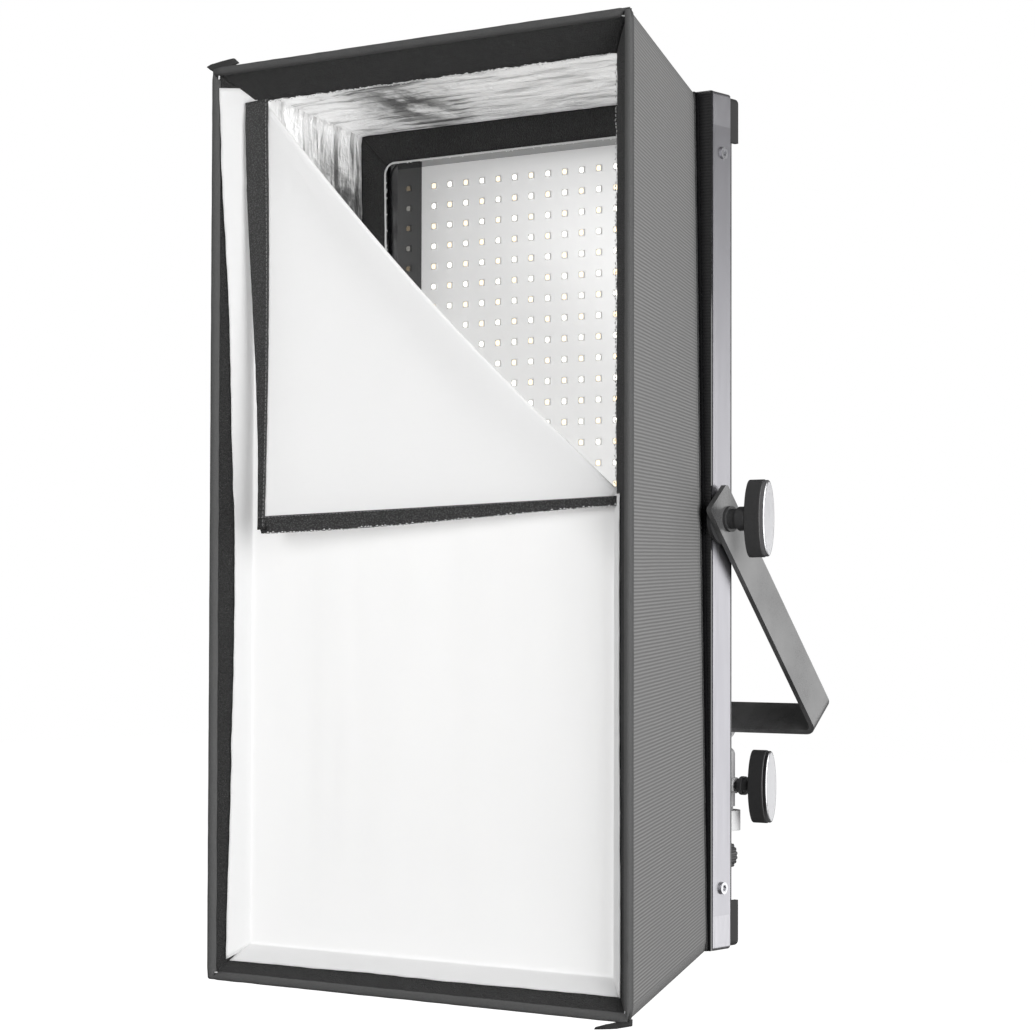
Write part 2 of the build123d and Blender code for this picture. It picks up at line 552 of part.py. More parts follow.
with BuildPart() as wall_stiffeners:
    rear, front = REAR_DEPTH - STIFFENER_MARGIN, wall_front + STIFFENER_MARGIN
    for side in SIDES:
        add(mitred_side(side, wall_rings(rear, front, SKIN, BOARD), STIFFENER_MARGIN).part)
save("wall_stiffeners", wall_stiffeners)

with BuildPart() as silver_lining:
    for inset, mode in ((SKIN + BOARD, Mode.ADD), (lip_start, Mode.SUBTRACT)):
        with BuildSketch(front_plane(REAR_DEPTH)):
            Rectangle(2 * (REAR_HALF_W - inset), 2 * (REAR_HALF_H - inset))
        front_w, front_h = wall_half_size(wall_front)
        with BuildSketch(front_plane(wall_front)):
            Rectangle(2 * (front_w - inset), 2 * (front_h - inset))
        loft(ruled=True, mode=mode)
save("silver_lining", silver_lining)

with BuildPart() as bezel_hook_band:
    band_outer = (2 * (REAR_HALF_W - BAND_SETBACK), 2 * (REAR_HALF_H - BAND_SETBACK))
    band_inner = (band_outer[0] - 2 * HOOK_BAND, band_outer[1] - 2 * HOOK_BAND)
    extrude(ring_sketch(0, band_outer, band_inner), amount=BAND_T)
save("bezel_hook_band", bezel_hook_band)

with BuildPart() as rear_loop_band:
    band_outer = (2 * REAR_HALF_W, 2 * REAR_HALF_H)
    band_inner = (band_outer[0] - 2 * FLANGE_BAND, band_outer[1] - 2 * FLANGE_BAND)
    extrude(ring_sketch(-BAND_T, band_outer, band_inner), amount=BAND_T)
save("rear_loop_band", rear_loop_band)

with BuildPart() as rim_binding:
    rim_outer = (2 * RIM_HALF_W, 2 * RIM_HALF_H)
    rim_inner = (rim_outer[0] - 2 * (lip_start + LIP_T), rim_outer[1] - 2 * (lip_start + LIP_T))
    extrude(ring_sketch(wall_front, rim_outer, rim_inner), amount=BINDING_T)
save("rim_binding", rim_binding)

for side in SIDES:
    lip_rings = []
    for depth in (wall_front + EPS, FRONT_DEPTH + LIP_DROP):
        inner = lip_face(depth)
        lip_rings.append((depth, RIM_HALF_W - inner + LIP_T, RIM_HALF_H - inner + LIP_T, LIP_T))
    save(f"front_lip_{side}", mitred_side(side, lip_rings))

with BuildPart() as corner_tabs:
    for way in (-1, 1):
        tab_points = [
            (way * (RIM_HALF_W + TAB_REACH), -way * (RIM_HALF_H + EPS)),
            (way * (RIM_HALF_W - TAB_BACK), -way * (RIM_HALF_H + TAB_MIDDLE)),
            (way * (RIM_HALF_W - TAB_LENGTH), -way * (RIM_HALF_H + TAB_HEIGHT)),
            (way * (RIM_HALF_W - TAB_LENGTH - TAB_END), -way * (RIM_HALF_H + EPS)),
        ]
        extrude(outline_sketch(FRONT_DEPTH, tab_points), amount=-TAB_DEPTH)
save("corner_tabs", corner_tabs)

# ---------------------------------------------------------------- diffuser and folded corner
with BuildPart() as diffuser:
    diffuser_points = [
        (-DIFFUSER_HALF_W, -DIFFUSER_HALF_H),
        (DIFFUSER_HALF_W, -DIFFUSER_HALF_H),
        FOLD_END,
        FOLD_START,
        (-DIFFUSER_HALF_W, DIFFUSER_HALF_H),
    ]
    extrude(outline_sketch(DIFFUSER_DEPTH, diffuser_points), amount=CLOTH_T)
save("diffuser", diffuser)

hook_rings = []
for depth in (DIFFUSER_DEPTH - CLOTH_T - HOOK_GAP, HOOK_FRONT):
    inner = lip_face(depth) + HOOK_GAP
    hook_rings.append((depth, RIM_HALF_W - inner, RIM_HALF_H - inner, HOOK_T))
with BuildPart() as diffuser_hook_strips:
    for side in ("left", "bottom"):
        add(mitred_side(side, hook_rings, HOOK_TRIM).part)
    with BuildPart(mode=Mode.PRIVATE) as right_strip:
        add(mitred_side("right", hook_rings, HOOK_TRIM).part)
        split(bisect_by=Plane.XY.offset(HEAD_Z + FOLD_END[1] - HOOK_STOP), keep=Keep.BOTTOM)
    add(right_strip.part)
save("diffuser_hook_strips", diffuser_hook_strips)

fold = Plane(
    origin=(HEAD_X + FOLD_START[0], HEAD_Y + FOLD_DEPTH, HEAD_Z + FOLD_START[1]),
    x_dir=(FOLD_END[0] - FOLD_START[0], 0, FOLD_END[1] - FOLD_START[1]),
    z_dir=(0, -1, 0),
)
flap_corners = [
    (FOLD_START[0] + FOLD_TRIM, FLAP_HALF_H),
    (FLAP_HALF_W, FLAP_HALF_H),
    (FLAP_HALF_W, FOLD_END[1] + FOLD_TRIM),
]
with BuildPart() as closed_flap:
    extrude(outline_sketch(DIFFUSER_DEPTH, flap_corners), amount=CLOTH_T)
with BuildPart() as diffuser_flap:
    add(closed_flap.part.rotate(Axis(fold.origin, fold.x_dir), FLAP_TURN))
save("diffuser_flap", diffuser_flap)

strip_corners = {
    "top": [
        (FOLD_START[0] + FOLD_TRIM + 2 * BORDER, FLAP_HALF_H),
        (FLAP_HALF_W - BORDER - STRIP_GAP, FLAP_HALF_H),
        (FLAP_HALF_W - BORDER - STRIP_GAP, FLAP_HALF_H - BORDER),
        (FOLD_START[0] + FOLD_TRIM + 3 * BORDER, FLAP_HALF_H - BORDER),
    ],
    "right": [
        (FLAP_HALF_W, FOLD_END[1] + FOLD_TRIM + 2 * BORDER),
        (FLAP_HALF_W, FLAP_HALF_H),
        (FLAP_HALF_W - BORDER, FLAP_HALF_H),
        (FLAP_HALF_W - BORDER, FOLD_END[1] + FOLD_TRIM + 3 * BORDER),
    ],
}
closed_strips = []
for points in strip_corners.values():
    with BuildPart() as strip:
        extrude(outline_sketch(DIFFUSER_DEPTH, points), amount=-FLAP_HOOK_T)
    closed_strips.append(strip.part)
with BuildPart() as flap_hook_strips:
    for strip_part in closed_strips:
        add(strip_part.rotate(Axis(fold.origin, fold.x_dir), FLAP_TURN))
save("flap_hook_strips", flap_hook_strips)

# ---------------------------------------------------------------- yoke and its knobs
tilt = radians(YOKE_ANGLE)
reach_dir = Vector(0, cos(tilt), -sin(tilt))
across_dir = Vector(0, sin(tilt), cos(tilt))
pivot = Vector(HEAD_X, HEAD_Y + PIVOT_DEPTH, HEAD_Z)
yoke_plane = Plane(origin=pivot, x_dir=(1, 0, 0), z_dir=across_dir)
arm_outer = ARM_INNER + BAR_T
bar_centre = Vector(0, pivot.Y, pivot.Z) + reach_dir * YOKE_REACH
bar_back = Plane(origin=bar_centre, x_dir=(1, 0, 0), z_dir=reach_dir)
with BuildPart() as yoke:
    with BuildSketch(yoke_plane):
        with BuildLine():
            inside = [
                (-ARM_INNER, -ARM_TOP),
                (-ARM_INNER, YOKE_REACH - BAR_T),
                (ARM_INNER, YOKE_REACH - BAR_T),
                (ARM_INNER, -ARM_TOP),
            ]
            outside = [
                (arm_outer, -ARM_TOP),
                (arm_outer, YOKE_REACH),
                (-arm_outer, YOKE_REACH),
                (-arm_outer, -ARM_TOP),
            ]
            inner_line = FilletPolyline(*inside, radius=BEND - BAR_T)
            outer_line = FilletPolyline(*outside, radius=BEND)
            Line(inner_line @ 1, outer_line @ 0)
            Line(outer_line @ 1, inner_line @ 0)
        make_face()
    extrude(amount=BAR_W / 2, both=True)
    across_arms = yoke.edges().filter_by(Axis.X)
    fillet(across_arms.sort_by(lambda edge: (edge.center() - pivot).dot(reach_dir))[:4], radius=ARM_TIP_ROUND)
    for way in (-1, 1):
        with BuildSketch(side_plane(way * arm_outer, PIVOT_DEPTH, outward=way)):
            Circle(SCREW_HOLE_R)
        extrude(amount=-BAR_T, mode=Mode.SUBTRACT)
    with BuildSketch(bar_back):
        Circle(SCREW_HOLE_R)
    extrude(amount=-BAR_T, mode=Mode.SUBTRACT)
save("yoke", yoke)

with BuildPart() as friction_washers:
    for way in (-1, 1):
        with BuildSketch(side_plane(way * half_w, PIVOT_DEPTH, outward=way)):
            Circle(WASHER_R)
            Circle(SCREW_HOLE_R, mode=Mode.SUBTRACT)
        extrude(amount=WASHER_T)
save("friction_washers", friction_washers)

with BuildPart() as pivot_inserts:
    for way in (-1, 1):
        with BuildSketch(side_plane(way * (half_w - RAIL_WALL - EPS), PIVOT_DEPTH, outward=way)):
            Rectangle(INSERT_DEPTH, INSERT_LENGTH)
            Circle(SCREW_HOLE_R, mode=Mode.SUBTRACT)
        extrude(amount=-(RAIL_W - 2 * RAIL_WALL - 2 * EPS))
save("pivot_inserts", pivot_inserts)

hub_start = arm_outer - half_w + RUNNING_GAP
for side, way in (("right", 1), ("left", -1)):
    knob_plane = side_plane(way * half_w, PIVOT_DEPTH, outward=way)
    oval_knob(f"{side}_tilt_knob", knob_plane, SCREW_R, -TILT_SCREW_REACH, hub_start, TILT_HUB)

# ---------------------------------------------------------------- stand socket
with BuildPart() as stand_socket:
    with BuildSketch(bar_back):
        Rectangle(PAD_W, PAD_H)
    extrude(amount=PAD_T)
    fillet(stand_socket.edges().filter_by(Axis(bar_centre, reach_dir)), radius=PAD_ROUND)
    with BuildSketch(Plane.XY.offset(SHOULDER_Z - SHOULDER_R)):
        Circle(NECK_R)
    extrude(amount=NECK_TOP - SHOULDER_Z + SHOULDER_R)
    split(bisect_by=bar_back, keep=Keep.TOP)
    for start, end, radius in (
        (0, COLLAR_H, COLLAR_R),
        (COLLAR_H, COLLAR_H + GROOVE_H, GROOVE_R),
        (COLLAR_H + GROOVE_H, SHOULDER_Z, SOCKET_R),
    ):
        with BuildSketch(Plane.XY.offset(start)):
            Circle(radius)
        extrude(amount=end - start)
    circles = stand_socket.edges().filter_by(GeomType.CIRCLE)
    shoulder = circles.filter_by(lambda edge: abs(edge.radius - SOCKET_R) < EPS).sort_by(Axis.Z)[-1]
    fillet(shoulder, radius=SHOULDER_ROUND)
    with BuildSketch(Plane.YZ):
        with Locations((0, CLAMP_Z)):
            Circle(CLAMP_BOSS_R)
    extrude(amount=CLAMP_BOSS_X)
    with BuildSketch(Plane.XY):
        Circle(STUD_R)
    extrude(amount=STUD_DEPTH, mode=Mode.SUBTRACT)
    with BuildSketch(Plane.YZ):
        with Locations((0, CLAMP_Z)):
            Circle(CLAMP_SCREW_R + EPS)
    extrude(amount=CLAMP_BOSS_X, mode=Mode.SUBTRACT)
    with BuildSketch(bar_back):
        Circle(SCREW_R + EPS)
    extrude(amount=PAD_T - BOLT_END_GAP / 2, mode=Mode.SUBTRACT)
save("stand_socket", stand_socket)

bolt_seat = bar_back.offset(-BAR_T)
with BuildPart() as socket_bolt:
    with BuildSketch(bolt_seat.offset(-BOLT_WASHER_T)):
        Circle(BOLT_HEAD_R)
    extrude(amount=-BOLT_HEAD_H)
    with BuildSketch(bolt_seat.offset(-BOLT_WASHER_T - BOLT_HEAD_H)):
        RegularPolygon(BOLT_HEX_R, 6)
    extrude(amount=BOLT_HEAD_H / 2, mode=Mode.SUBTRACT)
    with BuildSketch(bolt_seat.offset(-BOLT_WASHER_T)):
        Circle(SCREW_R)
    extrude(amount=BOLT_WASHER_T + BAR_T + PAD_T - BOLT_END_GAP)
save("socket_bolt", socket_bolt)

with BuildPart() as bolt_washer:
    with BuildSketch(bolt_seat):
        Circle(BOLT_WASHER_R)
        Circle(SCREW_R + EPS, mode=Mode.SUBTRACT)
    extrude(amount=-BOLT_WASHER_T)
save("bolt_washer", bolt_washer)

clamp_plane = Plane(origin=(0, 0, CLAMP_Z), x_dir=(0, 1, 0), z_dir=(1, 0, 0))
oval_knob("stand_knob", clamp_plane, CLAMP_SCREW_R, STUD_R + STUD_GAP, CLAMP_HUB_X, CLAMP_HUB)
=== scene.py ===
import json
import math
import random

import bmesh
import bpy
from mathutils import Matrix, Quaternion, Vector, noise


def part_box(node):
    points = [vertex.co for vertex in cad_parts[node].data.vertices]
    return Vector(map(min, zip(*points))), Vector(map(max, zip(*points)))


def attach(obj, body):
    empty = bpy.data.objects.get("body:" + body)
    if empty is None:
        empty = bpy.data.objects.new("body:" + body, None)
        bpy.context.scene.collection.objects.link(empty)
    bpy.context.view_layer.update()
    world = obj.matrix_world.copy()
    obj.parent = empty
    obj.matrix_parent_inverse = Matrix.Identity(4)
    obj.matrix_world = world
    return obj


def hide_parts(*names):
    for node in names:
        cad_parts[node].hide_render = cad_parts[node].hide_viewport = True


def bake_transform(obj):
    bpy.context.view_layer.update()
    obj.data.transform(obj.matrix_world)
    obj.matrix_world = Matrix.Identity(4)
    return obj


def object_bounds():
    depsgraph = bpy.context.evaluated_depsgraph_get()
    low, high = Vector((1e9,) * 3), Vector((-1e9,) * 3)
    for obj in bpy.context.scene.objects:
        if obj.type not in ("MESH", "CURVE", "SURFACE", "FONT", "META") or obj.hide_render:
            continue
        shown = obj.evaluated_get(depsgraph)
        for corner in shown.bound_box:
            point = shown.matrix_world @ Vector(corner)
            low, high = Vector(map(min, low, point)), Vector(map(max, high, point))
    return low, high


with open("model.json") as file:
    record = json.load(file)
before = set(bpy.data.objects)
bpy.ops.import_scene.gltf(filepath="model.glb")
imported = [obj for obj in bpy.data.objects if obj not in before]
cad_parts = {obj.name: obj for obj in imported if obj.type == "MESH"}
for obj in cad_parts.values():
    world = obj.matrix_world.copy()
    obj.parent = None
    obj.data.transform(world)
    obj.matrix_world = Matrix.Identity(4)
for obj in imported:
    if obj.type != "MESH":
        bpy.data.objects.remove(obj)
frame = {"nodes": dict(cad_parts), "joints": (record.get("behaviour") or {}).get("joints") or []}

CAD_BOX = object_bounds()
NODES = frame["nodes"]
MM = 0.001

# -------- places, in millimetres of the light head
# x to the right, depth backwards and z up, from the centre of the panel's front face

bezel_lo, bezel_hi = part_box("front_bezel")
HEAD = Vector(((bezel_lo.x + bezel_hi.x) / 2, bezel_lo.y, (bezel_lo.z + bezel_hi.z) / 2))


def head(x, depth, z):
    """A place in the frame, from head millimetres."""
    return HEAD + Vector((x, depth, z)) * MM


def local_box(name):
    """A node's box as (x, depth, z) ranges in head millimetres."""
    lo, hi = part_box(name)
    lo, hi = (lo - HEAD) / MM, (hi - HEAD) / MM
    return (lo.x, hi.x), (lo.y, hi.y), (lo.z, hi.z)


rim_x, rim_d, rim_z = local_box("rim_binding")
rear_x, rear_d, rear_z = local_box("rear_loop_band")
plate_x, plate_d, plate_z = local_box("diffuser")
lip_x, lip_d, _ = local_box("front_lip_left")
# half width, half height and depth of the front rim, of the rear edge and of the front cloth
RIM_W, RIM_H, RIM_D = rim_x[1], rim_z[1], rim_d[0]
REAR_W, REAR_H, REAR_D = rear_x[1], rear_z[1], rear_d[0] - 1.2
PLATE_W, PLATE_H, PLATE_D = plate_x[1], -plate_z[0], (plate_d[0] + plate_d[1]) / 2
# how far the lip slopes inward and backward
LIP_INSET, LIP_DROP = RIM_W + lip_x[1], lip_d[1] - RIM_D
LIP_SLOPE = math.hypot(LIP_INSET, LIP_DROP)

# the folded corner begins FOLD_REACH millimetres from the middle of the front cloth, in the direction FOLD_OUT
fold_joint = next(j for j in frame["joints"] if j["name"] == "flap_fold")
fold_mid = (Vector(fold_joint["pos_m"]) - HEAD) / MM
fold_axis = Vector(fold_joint["axis"])
FOLD_OUT = Vector((abs(fold_axis.z), abs(fold_axis.x), 0)).normalized()
FOLD_REACH = FOLD_OUT.x * fold_mid.x + FOLD_OUT.y * fold_mid.z


def smooth(t):
    t = min(1.0, max(0.0, t))
    return t * t * (3 - 2 * t)


def mix(a, b, t):
    return a + (b - a) * t


def wave(x, y, z=0.0, scale=1.0, seed=0.0):
    """Smooth noise in -1..1 at a place in millimetres."""
    return noise.noise(Vector((x * scale + seed, y * scale - seed, z * scale + 3 * seed)))


# -------- materials


class Shader:
    """A small wrapper that builds a material's nodes."""

    def __init__(self, name):
        self.material = bpy.data.materials.new(name)
        self.material.use_nodes = True
        self.tree = self.material.node_tree
        self.bsdf = self.tree.nodes["Principled BSDF"]
        self.out = self.tree.nodes["Material Output"]

    def node(self, kind, inputs=None, **settings):
        made = self.tree.nodes.new(kind)
        for key, value in settings.items():
            setattr(made, key, value)
        for key, value in (inputs or {}).items():
            self.put(made.inputs[key], value)
        return made

    def put(self, socket, value):
        if isinstance(value, bpy.types.NodeSocket):
            self.tree.links.new(value, socket)
        elif hasattr(value, "__len__") and len(value) == 3 and len(socket.default_value) == 4:
            socket.default_value = (*value, 1.0)
        else:
            socket.default_value = value

    def set(self, **values):
        for key, value in values.items():
            self.put(self.bsdf.inputs[key.replace("_", " ")], value)

    def place(self, scale=1000, coords="Object", rotation=(0, 0, 0)):
        """Object coordinates, which are millimetres at a scale of 1000, or UVs, which are millimetres at 1."""
        source = self.node("ShaderNodeTexCoord").outputs[coords]
        scale = scale if isinstance(scale, tuple) else (scale, scale, scale)
        return self.node("ShaderNodeMapping", {"Vector": source, "Scale": scale, "Rotation": rotation}).outputs[0]

    def flat(self, x=1, y=1, turn=0):
        """UVs, scaled and turned."""
        return self.place((x, y, 1), "UV", (0, 0, turn))

    def noise(self, vector, scale=1.0, detail=3.0, rough=0.55, distortion=0.0):
        inputs = {"Vector": vector, "Scale": scale, "Detail": detail, "Roughness": rough, "Distortion": distortion}
        return self.node("ShaderNodeTexNoise", inputs).outputs["Fac"]

    def wave(self, vector, scale=1.0, direction="X", distortion=0.0, detail=0.0, detail_scale=1.0):
        """Bands 0.314 / scale apart."""
        inputs = {"Vector": vector, "Scale": scale, "Distortion": distortion, "Detail": detail,
                  "Detail Scale": detail_scale}
        return self.node("ShaderNodeTexWave", inputs, bands_direction=direction).outputs["Fac"]

    def cells(self, vector, scale=1.0, feature="F1"):
        made = self.node("ShaderNodeTexVoronoi", {"Vector": vector, "Scale": scale}, feature=feature)
        return made.outputs["Distance"]

    def vector(self, kind, a, b):
        return self.node("ShaderNodeVectorMath", {0: a, 1: b}, operation=kind).outputs["Value"]

    def math(self, kind, a, b=0.0, c=0.0):
        return self.node("ShaderNodeMath", {0: a, 1: b, 2: c}, operation=kind).outputs[0]

    def times(self, a, b):
        return self.math("MULTIPLY", a, b)

    def plus(self, a, b):
        return self.math("ADD", a, b)

    def weigh(self, a, b, share):
        """This share of a, and the rest of b."""
        return self.math("MULTIPLY_ADD", a, share, self.times(b, 1 - share))

    def spread(self, value, low, high, out_low=0.0, out_high=1.0):
        inputs = {"Value": value, "From Min": low, "From Max": high, "To Min": out_low, "To Max": out_high}
        return self.node("ShaderNodeMapRange", inputs).outputs[0]

    def vary(self, value, low, high):
        """From low to high over the middle of a noise's range."""
        return self.spread(value, 0.3, 0.7, low, high)

    def blend(self, fac, a, b):
        return self.node("ShaderNodeMix", {0: fac, 6: a, 7: b}, data_type="RGBA").outputs[2]

    def bump(self, height, strength=0.5, distance=0.1, normal=None):
        inputs = {"Height": height, "Strength": strength, "Distance": distance * MM}
        if normal is not None:
            inputs["Normal"] = normal
        return self.node("ShaderNodeBump", inputs).outputs[0]

    def edge_highlight_mask(self):
        """1 on convex edges, where a highlight is painted, and 0 on flats."""
        point = self.node("ShaderNodeNewGeometry").outputs["Pointiness"]
        return self.spread(point, 0.52, 0.568)


def grey(value, warm=0.0):
    return (value * (1 + warm), value, value * (1 - warm))


def shades(tint, low, high):
    """A darker and a lighter colour of the same tint."""
    return tuple(c * low for c in tint), tuple(c * high for c in tint)


def brushed(name, tint, streak, roughness):
    """Brushed or satin metal; streak is the scale along each axis."""
    s = Shader(name)
    fine = s.noise(s.place(streak), 1.0, 4.0, 0.6)
    cloud = s.noise(s.place(9), 1.0, 3.0)
    s.set(Base_Color=s.blend(s.weigh(fine, cloud, 0.7), *shades(tint, 0.86, 1.06)), Metallic=1.0)
    grain = s.vary(fine, roughness - 0.06, roughness + 0.08)
    s.set(Roughness=s.plus(grain, s.vary(cloud, -0.03, 0.03)))
    s.set(Normal=s.bump(fine, 0.35, 0.02))
    return s.material


def coated(name, tint, grain, roughness, depth, edge, speckle, gloss=0.5):
    """Powder coat, moulded plastic or rubber with a fine grain; edge is the colour of a patchy painted highlight
    on convex edges.
    """
    s = Shader(name)
    fine = s.noise(s.place(), grain, 3.0, 0.6)
    cloud = s.noise(s.place(22), 1.0, 3.0)
    colour = s.blend(s.spread(fine, 0.3, 0.7), *shades(tint, 1 - speckle, 1 + speckle))
    if edge:
        # painted highlight on convex edges, broken into patches by a cloud
        edge_highlight = s.times(s.edge_highlight_mask(), s.spread(cloud, 0.35, 0.65, 0.3, 0.9))
        colour = s.blend(edge_highlight, colour, edge)
    s.set(Base_Color=colour, Specular_IOR_Level=gloss)
    rough = s.vary(fine, roughness - 0.05, roughness + 0.05)
    s.set(Roughness=s.plus(rough, s.vary(cloud, -0.04, 0.04)))
    s.set(Normal=s.bump(fine, 0.5, depth))
    return s.material


RIB_PITCH, THREAD_PITCH = 2.4, 0.6


def nylon(name):
    """Ribbed nylon: a cord every few millimetres along the wall, with a woven ground between them."""
    s = Shader(name)
    place = s.flat()
    rib = s.wave(place, 0.314 / RIB_PITCH, "X", 0.5, 2.0, 0.3)
    thread = s.wave(place, 0.314 / THREAD_PITCH, "Y", 0.4, 1.0)
    cloud = s.noise(s.flat(0.012, 0.03), 1.0, 4.0)
    fleck = s.noise(s.flat(0.9, 0.12), 1.0, 3.0, 0.7)
    base = s.blend(s.spread(s.weigh(rib, fleck, 0.62), 0.2, 0.85), grey(0.108, 0.01), grey(0.245, 0.01))
    s.set(Base_Color=s.blend(s.spread(cloud, 0.25, 0.75, 0.0, 0.4), base, grey(0.16)))
    s.set(Roughness=s.vary(fleck, 0.62, 0.78))
    s.set(Sheen_Weight=0.12, Sheen_Roughness=0.5, Specular_IOR_Level=0.3)
    fine = s.bump(thread, 0.25, 0.08)
    s.set(Normal=s.bump(s.plus(rib, s.times(fleck, 0.4)), 0.55, 0.28, fine))
    return s.material


def pile(name, tint, light):
    """Brushed loop pile with pale flecks."""
    s = Shader(name)
    place = s.place()
    loops = s.cells(place, 1.1)
    fuzz = s.noise(place, 1.87, 5.0, 0.75)
    patches = s.vary(s.noise(place, 0.09, 2.0), 0.45, 1.0)
    fleck = s.times(s.spread(fuzz, 0.56, 0.72), patches)
    ground = s.blend(s.spread(loops, 0.1, 0.7), tint, tuple(c * 0.55 for c in tint))
    s.set(Base_Color=s.blend(fleck, ground, light), Roughness=s.vary(fuzz, 0.85, 0.98))
    s.set(Sheen_Weight=0.1, Sheen_Roughness=0.6, Specular_IOR_Level=0.1)
    s.set(Normal=s.bump(s.math("SUBTRACT", fuzz, loops), 0.9, 0.9))
    return s.material


# where the silver lining is painted with the reflection of a dark room: a place on the unrolled walls and its
# size, in millimetres
DARK_ROOM_REFLECTIONS = ((105, REAR_D - 45, 62), (2100 + 2 * RIM_H - 70, REAR_D - 18, 66))


def silver(name):
    """Crinkled reflective cloth with painted reflections: a film lighter and darker along its long creases, fine
    crackle, and dark streaks and patches of a dark room, strongest near the listed spots; its colour is also
    painted on as a glow.
    """
    s = Shader(name)
    place = s.flat()
    long_crease = s.noise(s.flat(0.018, 0.11, 0.75), 1.0, 5.0, 0.62, 0.8)
    crackle = s.cells(s.flat(0.16, 0.16), 1.0, "DISTANCE_TO_EDGE")
    fine = s.noise(s.flat(turn=0.7), 0.9, 4.0, 0.7)
    reflection_cloud = s.noise(s.flat(0.03, 0.035), 1.0, 4.0, 0.6)
    streak = s.noise(s.flat(0.012, 0.20, 0.95), 1.0, 4.0, 0.6, 0.3)
    away = [(s.vector("DISTANCE", place, (u, v, 0)), reach) for u, v, reach in DARK_ROOM_REFLECTIONS]
    near = s.math("MAXIMUM", *(s.spread(distance, reach, 0.25 * reach) for distance, reach in away))
    # painted reflections: light and dark bands along the creases, dark streaks, and dark patches near the listed
    # spots and here and there
    bright = s.blend(s.spread(long_crease, 0.30, 0.5), grey(0.62), grey(0.97))
    dark = s.times(s.spread(streak, 0.50, 0.62), s.spread(near, 0.0, 0.35, 0.45, 0.95))
    bright = s.blend(dark, bright, grey(0.13))
    dark_reflection = s.times(s.spread(reflection_cloud, 0.36, 0.56), near)
    dark_reflection = s.math("MAXIMUM", dark_reflection, s.spread(reflection_cloud, 0.64, 0.78, 0.0, 0.6))
    colour = s.blend(s.times(dark_reflection, 0.92), bright, grey(0.07))
    # the painted colour is also painted on as a glow
    s.set(Base_Color=colour, Metallic=0.45, Emission_Color=colour, Emission_Strength=0.27)
    s.set(Roughness=s.vary(fine, 0.28, 0.48), Specular_IOR_Level=0.6)
    facets = s.times(s.spread(crackle, 0.0, 0.4), 0.5)
    ridges = s.plus(s.times(long_crease, 5.0), facets)
    s.set(Normal=s.bump(s.plus(ridges, s.times(fine, 0.25)), 0.85, 0.9))
    return s.material


WEAVE_SCALE = 0.5 / 0.45
# painted glow of the cloth: stronger on the attached face, in the rim's shade, than on the folded corner and the
# margins
FACE_PAINTED_GLOW, BACK_PAINTED_GLOW = 0.33, 0.065


def cloth(name, tint):
    """White diffusion cloth: a fine plain weave that lets some light through, with a painted glow that is stronger
    on its attached face than on the folded corner.
    """
    s = Shader(name)
    place = s.flat()
    warp, weft = s.wave(place, WEAVE_SCALE, "X", 0.3, 1.0), s.wave(place, WEAVE_SCALE, "Y", 0.3, 1.0)
    slub = s.noise(s.flat(0.9, 0.05), 1.0, 4.0, 0.7)
    cloud = s.noise(s.flat(0.01, 0.01), 1.0, 3.0)
    s.set(Base_Color=s.blend(s.weigh(slub, cloud, 0.6), grey(tint * 0.975), grey(tint * 1.02)))
    s.set(Roughness=s.vary(slub, 0.78, 0.9), Sheen_Weight=0.15, Specular_IOR_Level=0.2)
    across = s.vector("DOT_PRODUCT", place, FOLD_OUT)
    glow = s.spread(across, FOLD_REACH - 45, FOLD_REACH - 12, FACE_PAINTED_GLOW, BACK_PAINTED_GLOW)
    s.set(Emission_Color=grey(1.0), Emission_Strength=glow)
    weave = s.plus(s.times(warp, weft), s.times(slub, 0.8))
    normal = s.bump(weave, 0.3, 0.12)
    s.set(Normal=normal)
    through = s.node("ShaderNodeBsdfTranslucent", {"Color": grey(0.95), "Normal": normal})
    both = s.node("ShaderNodeMixShader", {0: 0.3, 1: s.bsdf.outputs[0], 2: through.outputs[0]})
    s.tree.links.new(both.outputs[0], s.out.inputs["Surface"])
    return s.material


def hooks(name):
    """Moulded hook tape: a field of tiny shiny hooks."""
    s = Shader(name)
    dots = s.cells(s.place(), 0.85)
    rows = s.noise(s.place(600), 1.0, 3.0, 0.7)
    s.set(Base_Color=s.blend(s.spread(dots, 0.15, 0.5), grey(0.11), grey(0.04)))
    s.set(Roughness=s.vary(rows, 0.45, 0.7), Specular_IOR_Level=0.3)
    s.set(Normal=s.bump(s.math("SUBTRACT", s.times(rows, 0.5), dots), 0.9, 0.7))
    return s.material


def tape(name, low, high):
    """Woven binding tape with a slanting grain."""
    s = Shader(name)
    slant = s.wave(s.place(1, rotation=(0.6, 0.5, 0.7)), 620.0, "X", 1.0, 2.0)
    fuzz = s.noise(s.place(), 0.9, 4.0, 0.7)
    s.set(Base_Color=s.blend(s.weigh(slant, fuzz, 0.5), low, high), Roughness=s.vary(fuzz, 0.7, 0.88))
    s.set(Specular_IOR_Level=0.25, Normal=s.bump(s.plus(slant, fuzz), 0.5, 0.25))
    return s.material


def thread(name, value):
    """Twisted sewing thread."""
    s = Shader(name)
    twist = s.wave(s.place(1, rotation=(0.5, 0.4, 0.8)), 900.0, "X", 0.6, 1.0)
    fuzz = s.noise(s.place(), 1.6, 3.0)
    s.set(Base_Color=s.blend(s.weigh(twist, fuzz, 0.5), grey(value * 0.75), grey(value)))
    s.set(Roughness=s.vary(fuzz, 0.7, 0.85), Sheen_Weight=0.15, Normal=s.bump(twist, 0.5, 0.15))
    return s.material


